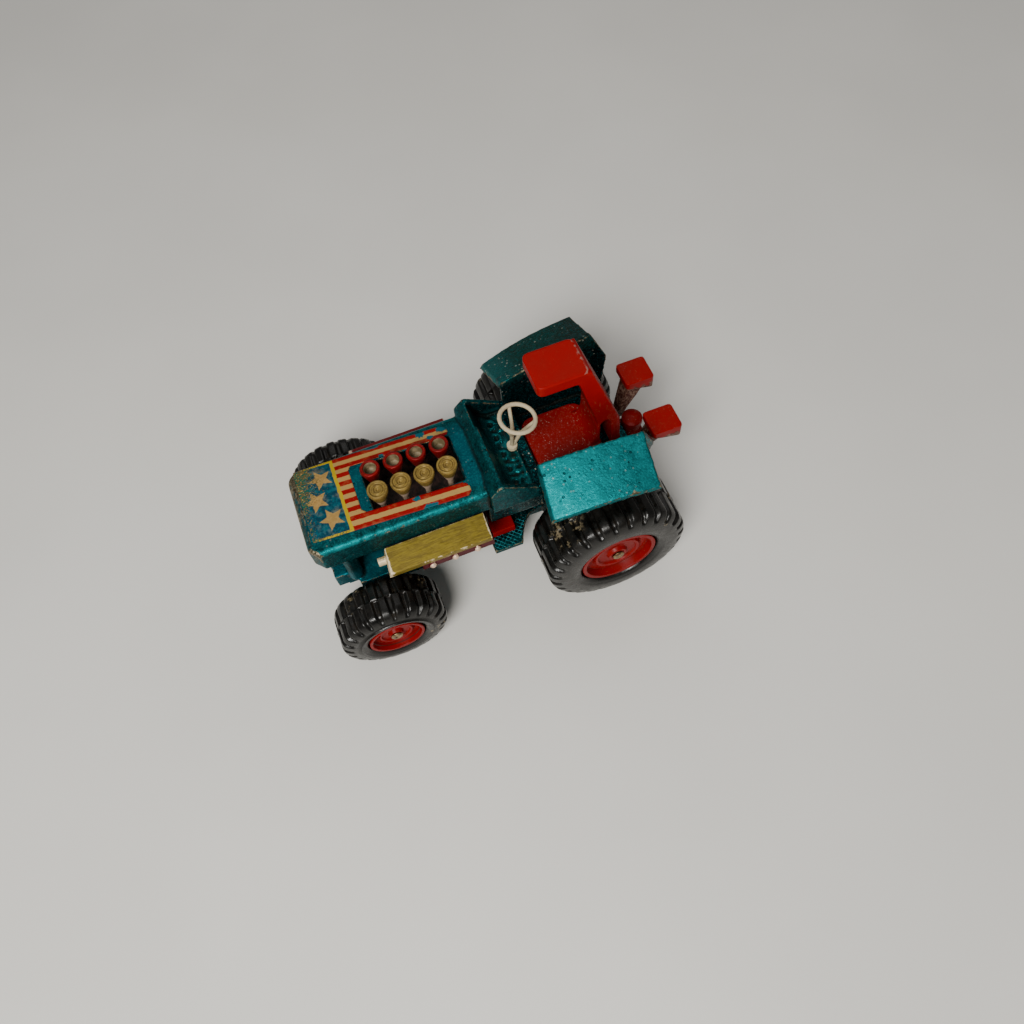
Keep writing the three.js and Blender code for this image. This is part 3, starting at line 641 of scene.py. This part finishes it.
def star_mask(shader, x, across, centre_x, centre_across):
    """1 inside a five-pointed star with one point forward."""
    dx = shader.math("SUBTRACT", x, centre_x)
    dy = shader.math("SUBTRACT", across, centre_across)
    square = shader.math("ADD", shader.product(dx, dx), shader.product(dy, dy))
    reach = shader.math("SQRT", square)
    sector = 2 * math.pi / 5
    turn = shader.math("ADD", shader.math("ARCTAN2", dy, dx), 2 * math.pi + sector / 2)
    folded = shader.math("SUBTRACT", shader.math("MODULO", turn, sector), sector / 2)
    folded = shader.math("ABSOLUTE", folded)
    tip = Vector((STAR.outer, 0))
    notch = Vector((STAR.inner * math.cos(math.pi / 5), STAR.inner * math.sin(math.pi / 5)))
    normal = Vector((notch.y - tip.y, tip.x - notch.x)).normalized()
    along = shader.math("MULTIPLY", shader.math("COSINE", folded), normal.x)
    outward = shader.multiply_add(shader.math("SINE", folded), normal.y, along)
    distance = shader.multiply_add(reach, outward, -normal.x * tip.x)
    return shader.span(distance, -0.06, 0.06, 1, 0)


def label_ink(shader, x, ragged):
    """The printed pattern, from the rear: stripes, a yellow line and three stars on blue."""
    pitch = LABEL.pitch
    start = LABEL.half + 20 * pitch - pitch / 2
    stripe = shader.math("PINGPONG", shader.math("ADD", ragged, start), pitch)
    ink = shader.blend(shader.span(stripe, pitch * 0.46, pitch * 0.54, 1, 0), PRINT_CREAM, PRINT_RED)
    blotch = shader.noise(0.9, 5, 0.65)
    field = shader.blend(shader.span(blotch, 0.4, 0.62), PRINT_BLUE, TEAL_BLUE)
    border = shader.above(shader.math("ABSOLUTE", ragged), LABEL.half - LABEL.margin, 0.08)
    field = shader.tint(field, PRINT_YELLOW, border)
    tan = shader.blend(shader.span(blotch, 0.42, 0.6), STAR_TAN, PRINT_CREAM)
    for index in (-1, 0, 1):
        centre_x = STAR.x + (STAR.ahead if index == 0 else 0)
        star = star_mask(shader, x, ragged, centre_x, index * STAR.spacing + 0.2)
        field = shader.tint(field, tan, star)
    ink = shader.tint(ink, PRINT_YELLOW, shader.above(x, LABEL.strip_front, 0.05))
    return shader.tint(ink, field, shader.above(x, LABEL.strip_front + LABEL.yellow, 0.06))


def label_wear(shader, x, across, ragged):
    """Where the ink is gone: speckle, most at the front right corner, and the larger chips."""
    span = shader.span
    worn, torn = shader.noise(2.4, 5, 0.7), shader.noise(0.85, 5, 0.7)
    corner = shader.product(span(shader.x, 37.5, 44), span(shader.y, 4, -6))
    rim = span(across, LABEL.half - 1.5, LABEL.half - 0.3)
    rim = shader.product(rim, span(shader.x, 36, 38))
    front = span(shader.x, 43.2, 46.4)
    for zone, strength in ((corner, 0.17), (front, 0.15), (rim, 0.13)):
        worn = shader.multiply_add(zone, strength, worn)
    worn = span(worn, 0.64, 0.70)
    for chip_x, chip_across, long, wide in CHIPS:
        dx = shader.math("DIVIDE", shader.math("SUBTRACT", x, chip_x), long)
        dy = shader.math("DIVIDE", shader.math("SUBTRACT", ragged, chip_across), wide)
        away = shader.math("ADD", shader.product(dx, dx), shader.product(dy, dy))
        away = shader.multiply_add(torn, -4.0, away)
        worn = shader.most(worn, span(away, -1.35, -1.1, 1, 0))
    return worn


def label_print():
    """Stars and stripes in faded ink, worn away in places to the paint beneath."""
    shader = Shader("label_print", Roughness=0.45, Specular_IOR_Level=0.15)
    shift = -LABEL.skew * LABEL.skew_x - LABEL.centre
    skewed = shader.multiply_add(shader.x, LABEL.skew, shift)
    across = shader.math("ADD", shader.y, skewed)
    x = shader.math("ADD", shader.x, shader.multiply_add(shader.noise(0.8, 3), 0.5, -0.25))
    wobble = shader.multiply_add(shader.noise(1.1, 3), 0.36, -0.18)
    ragged = shader.math("ADD", across, wobble)
    ink = label_ink(shader, x, ragged)
    worn = label_wear(shader, x, across, ragged)
    under = shader.blend(shader.span(shader.noise(1.7, 4), 0.42, 0.58), WORN_TEAL, WORN_BROWN)
    under = shader.tint(under, PRINT_CREAM, shader.span(shader.noise(2.6, 3), 0.56, 0.66))
    under = shader.blend(shader.span(shader.x, 34, 38), TEAL_BLUE, under)
    faded = shader.tint(ink, PRINT_CREAM, shader.span(shader.noise(0.45, 4), 0.5, 0.75, 0, 0.25))
    shader.colour(shader.tint(faded, under, worn))
    shader.bump(shader.math("SUBTRACT", shader.noise(1.8, 4), worn), 0.03)
    return shader.material


def hood_height(y):
    """Height of the hood's top skin, in millimetres: flat crown, sloping shoulder, steep edge."""
    crown, crown_z, shoulder, shoulder_z, edge, edge_z = 6.6, 42.3, 11.9, 41.3, 12.6, 40.6
    side = abs(y)
    if side <= crown:
        return crown_z
    if side <= shoulder:
        return crown_z + (shoulder_z - crown_z) * (side - crown) / (shoulder - crown)
    return shoulder_z + (edge_z - shoulder_z) * (side - shoulder) / (edge - shoulder)


def hood_label():
    """The label as a thin bent sheet, cut out round the engine window, lying slightly askew."""
    step = 0.3
    lift, thickness, corner = 0.06, 0.07, 1.3
    window_half = LABEL.half - LABEL.band * LABEL.pitch
    columns = int((LABEL.front - LABEL.rear) / step)
    rows = int(2 * LABEL.half / step)

    def across_centre(x):
        return LABEL.centre + LABEL.skew * (LABEL.skew_x - x)

    def keep(x, v):
        """Whether the sheet has paper at x, at v from its own middle line."""
        end = x - LABEL.rear
        outside = abs(abs(v) - (LABEL.half + window_half) / 2)
        band = (LABEL.half - window_half) / 2
        if end < band and outside > math.sqrt(max(band ** 2 - (band - end) ** 2, 0)):
            return False
        if x >= LABEL.window_front or abs(v) >= window_half:
            return True
        deep_x, deep_v = LABEL.window_front - x, window_half - abs(v)
        if deep_x < corner and deep_v < corner:
            return math.hypot(corner - deep_x, corner - deep_v) > corner
        return False

    points, faces = [], []
    for i in range(columns + 1):
        x = LABEL.rear + i * step
        for j in range(rows + 1):
            v = -LABEL.half + j * step
            y = v + across_centre(x)
            points.append(at(x, y, hood_height(y) + lift))
    for i in range(columns):
        for j in range(rows):
            x, v = LABEL.rear + (i + 0.5) * step, -LABEL.half + (j + 0.5) * step
            if keep(x, v):
                a = i * (rows + 1) + j
                faces.append((a, a + rows + 1, a + rows + 2, a + 1))
    piece = link("label_sheet", mesh_from("label_sheet", points, faces))
    work = bmesh.new()
    work.from_mesh(piece.data)
    bmesh.ops.delete(work, geom=[v for v in work.verts if not v.link_faces], context="VERTS")
    work.to_mesh(piece.data)
    work.free()
    thicken = piece.modifiers.new("thickness", "SOLIDIFY")
    thicken.thickness = thickness * MM
    thicken.offset = 1
    apply_modifiers(piece)
    smooth_shade(piece.data)
    return finish_piece(piece, "tractor_body", "printed_label", [label_print()], ["hood_label"])


# ---- castings ----
COWL_FOOT_X = -3.2
FLOOR_Z = 36.0
FLOOR_RINGS_Y = (-9.4, -4.9, 0.4, 5.0, 9.2)
FLOOR_STUDS = ((-6.7, 2.6), (-6.5, 4.3), (-6.7, 6.2), (-6.9, 8.0), (-6.7, -7.0))  # x, y
FLOOR_RIBS = ((0.4, 8.2), (-9.4, -1.6))  # from y, to y
# The mudguards: where the arch starts and ends, and its height over the chords of its facets.
FENDER = SimpleNamespace(front=-9.8, splay=1.2, rear=-35.2, inner=12.6, width=12.7, crown=1.1)
FENDER_FACETS = 4
# The worn nose: where its smoothing starts and is full, and how often it is smoothed.
NOSE = SimpleNamespace(x=(45.2, 47.2), z=(33, 36), rounds=22)
BODY_WEAR = [  # centre, radii, strength
    ((48.2, -2, 41.6), (2.0, 12, 2.6), 0.95), ((47.4, -8, 42), (3.4, 7, 2.5), 1.0),
    ((47.6, 11.8, 39.6), (2.2, 1.9, 3.6), 0.95), ((48.6, 9, 36), (1.6, 6, 5), 0.5),
    ((26, 12.4, 40.9), (22, 0.7, 0.8), 0.45), ((-8.2, 19, 44), (0.9, 9, 4.5), 0.5),
    ((-8.2, -19, 44), (0.9, 9, 4.5), 0.45), ((1.0, 0, 44.3), (0.8, 16, 0.9), -0.75),
    ((-22, 28, 43.5), (13, 1.2, 1.6), 0.35), ((-29.0, 26.3, 44.2), (1.8, 1.4, 1.5), 1.0),
    ((-22, -14, 49.5), (14, 1.3, 2), 0.75),
]


def body_extras(work):
    """Rings and studs on the cockpit floor, two ribs behind them and a fillet at the cowl's foot."""
    for y in FLOOR_RINGS_Y:
        add_ring(work, at(-4.6, y, FLOOR_Z + 0.1), 1.3 * MM, 0.42 * MM)
    for x, y in FLOOR_STUDS:
        add_ball(work, at(x, y, FLOOR_Z), (0.9 * MM, 0.6 * MM, 0.6 * MM))
    for y0, y1 in FLOOR_RIBS:
        add_box(work, at(-8.6, y0, FLOOR_Z - 0.5), at(-7.8, y1, FLOOR_Z + 0.55))
    foot_z = FLOOR_Z - 0.2
    hollow = fillet((COWL_FOOT_X, foot_z), (COWL_FOOT_X - 3, foot_z), (COWL_FOOT_X + 1.6, foot_z + 3.4))
    add_prism(work, hollow, -12.6, 12.6)


def ridge_teal():
    """The same lacquer, painted bright cyan on the crests of the step tread as a highlight."""
    shader = Shader("teal_ridges", Metallic=0.7, Roughness=0.34)
    shader.colour(shader.blend(shader.span(shader.noise(0.8, 4), 0.38, 0.62), TEAL, RIDGE_TEAL))
    return shader.material


def ease_fenders(piece):
    """Lifts the flat facets of the mudguards' crown on to the smooth arch that they stand for."""
    places = vertex_places(piece.data)
    drawn_x = (places[:, 0] - SHIFT) / MM
    side = np.abs(places[:, 1]) / MM
    outward = np.clip((side - FENDER.inner) / FENDER.width, 0, 1)
    front = FENDER.front + FENDER.splay * outward
    t = np.clip((drawn_x - front) / (FENDER.rear - front), 0, 1)
    crown = FENDER.crown * (0.5 + 0.5 * np.clip((side - 14) / 12, 0, 1))
    low = np.floor(t * FENDER_FACETS) / FENDER_FACETS
    low_height, high_height = np.sin(np.pi * low), np.sin(np.pi * (low + 1 / FENDER_FACETS))
    chord = low_height + (t - low) * FENDER_FACETS * (high_height - low_height)
    on_crown = (places[:, 2] > 39 * MM) & (side > 12.4) & (drawn_x < -8.4)
    places[:, 2] += np.where(on_crown, crown * (np.sin(np.pi * t) - chord), 0) * MM
    piece.data.vertices.foreach_set("co", places.ravel())


def soften_nose(piece):
    """Rounds the bonnet's front edge and corners, which handling has worn smooth."""
    group = piece.vertex_groups.new(name="nose")
    for vertex in piece.data.vertices:
        x, z = (vertex.co.x - SHIFT) / MM, vertex.co.z / MM
        if x > NOSE.x[0] and z > NOSE.z[0]:
            group.add([vertex.index], smoothstep(*NOSE.x, x) * smoothstep(*NOSE.z, z), "REPLACE")
    ease = piece.modifiers.new("nose", "SMOOTH")
    ease.factor = 0.5
    ease.iterations = NOSE.rounds
    ease.vertex_group = "nose"
    apply_modifiers(piece)


def castings():
    paint = teal_paint()
    body = cast("body_casting", 0.3, 4, body_extras, BODY_WEAR)
    ease_fenders(body)
    soften_nose(body)
    finish_piece(body, "tractor_body", "die_cast_teal", [paint], ["body_casting"])
    lit_ridge_teal = ridge_teal()
    chassis = cast("chassis_casting", 0.3, 3)
    finish_piece(chassis, "tractor_body", "die_cast_teal", [paint], ["chassis_casting"])
    for name, side in SIDES:
        finish_piece(step_tread(name, side), "tractor_body", "die_cast_teal", [lit_ridge_teal])


def step_outline():
    """The step plate's outline in the drawing, with the hollow round the wheel drawn as a curve."""
    return [(4.6, 5.0), (4.6, 14.4)] + bend((-3.4, 14.4), (-6.2, 6.0), (-11.6, 5.8), 12)


def inside_outline(outline, x, y):
    """Whether a point lies inside: a line from it crosses the outline an odd number of times."""
    odd = False
    for (ax, ay), (bx, by) in zip(outline, outline[1:] + outline[:1]):
        if (ay > y) != (by > y) and x < ax + (y - ay) * (bx - ax) / (by - ay):
            odd = not odd
    return odd


def step_tread(name, side):
    """Raised diamond tread on a step plate: two families of fine ridges."""
    top, pitch, step, nearest_y = 13.0, 1.0, 0.25, 7.2
    half, rise, sunk, clear = 0.13, 0.15, 0.1, 0.3
    outline = step_outline()
    points, faces = [], []

    def on_plate(x, y):
        beside = ((clear, 0), (-clear, 0), (0, clear), (0, -clear))
        return y > nearest_y and all(inside_outline(outline, x + dx, y + dy) for dx, dy in beside)

    def ridge(ends):
        run = Vector(ends[1]) - Vector(ends[0])
        across = Vector((-run.y, run.x)).normalized() * half
        base = len(points)
        for end in ends:
            for offset, z in ((-1, top - sunk), (0, top + rise), (1, top - sunk)):
                x, y = end[0] + across.x * offset, end[1] + across.y * offset
                points.append(at(x, side * y, z))
        quads = [(0, 1, 4, 3), (1, 2, 5, 4), (0, 3, 5, 2), (0, 2, 1), (3, 4, 5)]
        faces.extend([tuple(base + k for k in quad) for quad in quads])

    for slope in (1, -1):
        for line in range(-40, 40):
            run = []
            for i in range(150):
                x = -14 + i * step * math.sqrt(0.5)
                y = slope * x + line * pitch * math.sqrt(2)
                if on_plate(x, y):
                    run.append((x, y))
                elif run:
                    if len(run) > 2:
                        ridge((run[0], run[-1]))
                    run = []
    mesh = mesh_from("step_tread_" + name, points, faces)
    face_outward(mesh)
    return link("step_tread_" + name, mesh)


# ---- red and cream mouldings ----
SEAT_WEAR = [((-25.6, 0, 65.2), (1.1, 7, 1.1), 1.0), ((-13.6, 0, 63.4), (0.8, 7, 0.8), 0.7)]


def seat_extras(work):
    """Fillets where the squab sweeps up into the back and where the back meets the canopy."""
    add_prism(work, fillet((-28.9, 33.4), (-22.5, 34.5), (-28.3, 41.5)), -5.4, 5.4)
    add_prism(work, fillet((-24.6, 62.6), (-24.9, 57.5), (-20.0, 62.6)), -5.3, 5.3)


def hitch_extras(work):
    """The rounded crown of the peg."""
    add_ball(work, at(-40.9, 0, 31.1), (2.65 * MM, 2.65 * MM, 0.95 * MM))


def mouldings():
    # the seat and the hitch get painted shade low down
    red = plastic("red_seat", RED, RED_DARK, shaded_and_dusty_below=(44.0, 60.0))
    lamp_red = plastic("red_lamp", LAMP_RED, RED_DARK, dirt_below=(36.6, 37.6))
    block_red = plastic("red_block", BLOCK_RED, RED_DARK)
    hitch_red = plastic("red_hitch", HITCH_RED, RED_DARK, shaded_and_dusty_below=(30.0, 33.0))
    seat = cast("seat_moulding", 0.25, 5, seat_extras, SEAT_WEAR)
    finish_piece(seat, "tractor_body", "red_plastic", [red], ["seat_moulding"])
    for name, side in SIDES:
        node = f"tail_lamp_{name}"
        lamp = cast(node, 0.16, 4, None, [((-41.5, side * 7, 31), (3.6, 4, 4.5), 0.65)])
        finish_piece(lamp, "tractor_body", "red_plastic", [lamp_red], [node])
    small = (("tow_hitch", hitch_extras, hitch_red), ("transmission_block", None, block_red))
    for node, extras, material in small:
        piece = cast(node, 0.18, 4, extras)
        finish_piece(piece, "tractor_body", "red_plastic", [material], [node])
    cream = plastic("cream_moulding", CREAM, CREAM_DARK, dust=0.1, wear=1.5)
    wheel = cast("steering_wheel", 0.1, 3)
    finish_piece(wheel, "tractor_body", "cream_plastic", [cream], ["steering_wheel"])


# ---- engine ----
def engine():
    block = cast("engine_block", 0.3, 3)
    dark = dark_plastic("engine_dark", ENGINE, ENGINE_LIGHT)
    finish_piece(block, "tractor_body", "engine_plastic", [dark], ["engine_block"])
    gold = plated("gold_coat", COVER_GOLD, COVER_GOLD_DARK, COVER_GOLD_EDGE, wear=0.74)
    red = plated("red_coat", COVER_RED, COVER_RED_DARK, PINK)
    maroon = plated("maroon_coat", MAROON, MAROON_DARK, PINK)
    covers = {"left": ("gold_plating", gold), "right": ("red_plating", red)}
    for name, side in SIDES:
        slot, material = covers[name]
        node = f"rocker_cover_{name}"
        zones = [
            ((33.0, side * 16, 31.8), (2.1, 6, 3.4), 1.6), ((18, side * 19.2, 31.4), (16, 0.8, 1.0), 0.7),
            ((18, side * 12.8, 34), (16, 0.7, 1.2), 0.6), ((5.6, side * 16, 33), (0.8, 5, 1.6), 0.8),
        ]
        finish_piece(cast(node, 0.15, 3, None, zones), "tractor_body", slot, [material], [node])
    for name, side in SIDES:
        node = f"exhaust_manifold_{name}"
        zones = [((21.6 - 5.9 * i, side * 19.4, 29.2), (1.6, 1.6, 1.6), 0.9) for i in range(3)]
        finish_piece(cast(node, 0.15, 3, None, zones), "tractor_body", "maroon_plastic", [maroon], [node])
    for name, _ in SIDES:
        for index in range(1, 5):
            intake_trumpet(name, index)


def intake_trumpet(side, index):
    """One turned trumpet: a shallow ringed dish on the left bank, an open red cup on the right."""
    node = f"intake_trumpet_{side}_{index}"
    low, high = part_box(node)
    centre = Vector(((low.x + high.x) / 2, (low.y + high.y) / 2, 0))
    foot, top = low.z / MM, high.z / MM
    stem = [(0, foot), (1.25, foot), (1.25, foot + 0.7), (0.75, foot + 1.2), (0.75, foot + 6)]
    if side == "left":
        head = [
            (2.14, top - 2.6), (2.64, top - 0.7), (2.5, top), (2.0, top), (1.9, top - 0.42),
            (1.45, top - 0.45), (1.35, top - 0.12), (0.95, top - 0.12), (0.85, top - 0.5),
            (0.35, top - 0.5), (0.25, top - 0.8), (0, top - 0.85),
        ]
        materials = [plated("gold_trumpet", DISH_GOLD, DISH_GOLD_DARK, PINK, stem_z=top - 3.9)]
        slot = "gold_plating"
    else:
        head = [
            (2.05, top - 2.6), (2.53, top - 0.7), (2.4, top), (1.72, top), (1.6, top - 0.3),
            (1.35, top - 2.4), (0.5, top - 2.7), (0, top - 2.75),
        ]
        materials = [
            plated("red_trumpet", CUP_RED, CUP_RED_DARK, PINK, stem_z=top - 5, wear=0.9),
            dark_plastic("trumpet_bore", BORE, BORE_LIGHT),
        ]
        slot = "red_plating"
    piece = lathe(node + "_finish", rounded(stem + head, 0.22), 48, centre)
    shape_attributes(piece, 4)
    rub_attribute(piece)
    finish_piece(piece, "tractor_body", slot, materials, [node])
    if side == "right":
        bore_radius, bore_depth = 1.62 * MM, 3 * MM
        for face in piece.data.polygons:
            out = Vector((face.center.x - centre.x, face.center.y - centre.y)).length
            if out < bore_radius and face.center.z > high.z - bore_depth:
                face.material_index = 1


# ---- wheels ----
WHEELS = {
    "rear": SimpleNamespace(
        radius=19.0, lug=1.1, lugs=28, outer=31.9, inner=14.9, rim=10.2, hub=31.0, back=15.9,
    ),
    "front": SimpleNamespace(
        radius=14.2, lug=0.9, lugs=24, outer=28.6, inner=15.6, rim=7.3, hub=28.1, back=16.2,
    ),
}
LUG_STEPS = 14
SEAM = 0.14  # height and half width of the moulding line round the middle of the tread


def tyre_outline(w):
    """[radius, y, share of lug] round the tyre's section, from the outer bead to the inner one."""
    r, o, i, bead = w.radius, w.outer, w.inner, w.rim + 0.35
    middle_y = (o + i) / 2
    outer = [
        (bead, w.hub - 0.5, 0), (bead + 0.25, o - 0.75, 0), (bead + 0.9, o - 0.25, 0),
        (bead + 1.2, o - 0.28, 0), (bead + 1.45, o - 0.12, 0), (bead + 2.2, o, 0),
        (r - 4.4, o - 0.05, 0), (r - 3.1, o - 0.25, 0), (r - 2.6, o - 0.42, 0.1),
        (r - 2.0, o - 0.62, 0.55), (r - 1.3, o - 1.0, 0.95), (r - 0.55, o - 1.65, 1),
        (r - 0.25, o - 2.35, 1), (r - SEAM, o - 3.2, 1), (r - SEAM, middle_y + 1.2, 1),
        (r - SEAM, middle_y + 0.35, 1), (r - SEAM, middle_y + 0.08, 1),
    ]
    inner = [(radius, o + i - y, lug) for radius, y, lug in reversed(outer)]
    return outer + inner


def dense(outline, longest):
    """The outline with its long spans divided, so that the lugs have points to bend."""
    made = [outline[0]]
    for point, following in zip(outline, outline[1:]):
        length = math.hypot(following[0] - point[0], following[1] - point[1])
        parts = max(1, int(length / longest))
        for k in range(1, parts):
            made.append(tuple(a + (b - a) * k / parts for a, b in zip(point, following)))
        made.append(following)
    return made


def tyre(prefix, w, centre, side):
    """A tyre with two staggered rows of transverse lugs and a moulding line round the middle."""
    name = f"{prefix}_tyre"
    outline = dense(tyre_outline(w), 0.75)
    middle_y = (w.outer + w.inner) / 2
    sides = w.lugs * LUG_STEPS
    draw = random.Random(SEED + len(prefix) + round(w.radius))
    wobble = [draw.uniform(-0.05, 0.05) for _ in range(w.lugs)]
    points, grooves = [], []
    for s in range(sides):
        angle = 2 * math.pi * s / sides
        for radius, y, share in outline:
            row = 0 if y >= middle_y else 0.5
            turn = s / LUG_STEPS + row
            nearest = abs(turn - round(turn) + wobble[round(turn) % w.lugs] * 0.4)
            wide = 0.28 + 0.04 * min(abs(y - middle_y) / 5, 1)
            groove = share * smoothstep(wide - 0.05, wide + 0.07, nearest)
            seam = SEAM * math.exp(-((y - middle_y) / SEAM) ** 2)
            reach = (radius - w.lug * groove + (seam if share == 1 else 0)) * MM
            inset = 0.35 * groove * (1 if share < 1 else 0) * (1 if y > middle_y else -1)
            turned = (reach * math.cos(angle), side * (y - inset) * MM, reach * math.sin(angle))
            points.append(centre + Vector(turned))
            grooves.append(groove)
    mesh = mesh_from(name, points, ring_faces(sides, len(outline), True))
    face_outward(mesh)
    smooth_shade(mesh)
    store_attribute(mesh, "groove", grooves)
    return link(name + "_finish", mesh)


def hub_profile(w):
    """[radius, y] of the hub: axle boss, stepped dish and flat rim, from bore to bore."""
    o, r = w.hub, w.rim
    front = [
        (1.3, o - 0.9), (r * 0.24, o - 0.9), (r * 0.28, o - 1.9), (r * 0.50, o - 1.9),
        (r * 0.53, o - 1.3), (r * 0.60, o - 1.25), (r * 0.66, o - 2.6), (r * 0.72, o - 2.6),
        (r * 0.75, o - 2.25), (r * 0.85, o - 2.15), (r * 0.89, o - 0.1), (r * 0.91, o),
        (r * 0.985, o), (r, o - 0.15), (r, o - 0.9), (r - 1, o - 1.1),
    ]
    return rounded(front, 0.16, 3) + [(r - 1, w.back + 0.3), (r - 1.3, w.back), (1.3, w.back)]


def wheels():
    rubber = tyre_rubber()
    red = plastic("red_hub", HUB_RED, HUB_RED_DARK, dust=0.35, roughness=0.4, gloss=0.05)
    steel = axle_steel()
    for end, w in WHEELS.items():
        axle_node = f"{end}_axle"
        centre = middle(axle_node)
        for side_name, side in SIDES:
            prefix = f"{end}_{side_name}"
            body = f"{prefix}_wheel"
            finish_piece(tyre(prefix, w, centre, side), body, "tyre_rubber", [rubber], [f"{prefix}_tyre"])
            profile = [(r, side * y) for r, y in hub_profile(w)]
            hub = lathe(f"{prefix}_hub_finish", profile, 96, centre, "Y", closed=True)
            shape_attributes(hub, 3)
            rub_attribute(hub)
            finish_piece(hub, body, "red_plastic", [red], [f"{prefix}_hub"])
        finish_piece(axle(axle_node, w, centre), f"{end}_axle", "axle_steel", [steel], [axle_node])


def axle(node, w, centre):
    """A pin with a riveted head at each end, each with a small punched dimple."""
    face = w.hub - 0.78
    end = [
        (1.18, face - 0.3), (1.18, face), (1.55, face + 0.02), (1.6, face + 0.2), (1.35, face + 0.45),
        (0.6, face + 0.5), (0.45, face + 0.3), (0, face + 0.25),
    ]
    outer = rounded(end, 0.12, 3)
    profile = [(r, -y) for r, y in reversed(outer)] + outer
    return lathe(node + "_finish", profile, 48, centre, "Y")


# ---- stage, light and camera ----
def stage():
    shader = Shader("pale_table", Roughness=0.38)
    shader.colour(shader.blend(shader.span(shader.noise(0.012, 3), 0.3, 0.7), TABLE, TABLE_LIGHT))
    size = 3.0
    corners = [(-size, -size, 0), (size, -size, 0), (size, size, 0), (-size, size, 0)]
    floor = link("table", mesh_from("table", corners, [(0, 1, 2, 3)]))
    floor.data.materials.append(shader.material)


def area_light(name, position, target, size, power, colour):
    data = bpy.data.lights.new(name, "AREA")
    data.shape = "DISK"
    data.size = size
    data.energy = power
    data.color = colour
    lamp = link(name, data)
    lamp.location = position
    lamp.rotation_mode = "QUATERNION"
    lamp.rotation_quaternion = (Vector(target) - Vector(position)).to_track_quat("-Z", "Y")


def lights():
    world = bpy.data.worlds.new("soft_room")
    bpy.context.scene.world = world
    world.use_nodes = True
    background = world.node_tree.nodes["Background"]
    background.inputs[0].default_value = (1.0, 0.985, 0.955, 1)
    background.inputs[1].default_value = 0.18
    area_light("key", (0.22, 0.33, 0.48), (0, 0, 0.02), 0.26, 4.2, (1.0, 0.985, 0.94))
    area_light("fill", (-0.12, -0.40, 0.68), (0, 0, 0.02), 0.6, 0.8, (1.0, 0.975, 0.94))


def camera():
    """A close camera above the left side, a little ahead of square on, rolled slightly."""
    azimuth, elevation, roll = math.radians(13.9), math.radians(62.0), math.radians(-7.9)
    distance = 0.2437
    target = at(-4.8, 0.6, 5.1)
    level = Vector((math.sin(azimuth), math.cos(azimuth), 0)) * math.cos(elevation)
    back = level + Vector((0, 0, math.sin(elevation)))
    right = (-back).cross(Vector((0, 0, 1))).normalized()
    up = right.cross(-back)
    across = right * math.cos(roll) + up * math.sin(roll)
    upward = up * math.cos(roll) - right * math.sin(roll)
    data = bpy.data.cameras.new("view")
    data.sensor_width = 36
    data.lens = 29.88
    data.clip_start, data.clip_end = 0.01, 20
    eye = link("view", data)
    turn = Matrix((across, upward, back)).transposed().to_4x4()
    eye.matrix_world = Matrix.Translation(target + back * distance) @ turn
    bpy.context.scene.camera = eye


castings()
hood_label()
mouldings()
engine()
wheels()
stage()
lights()
camera()
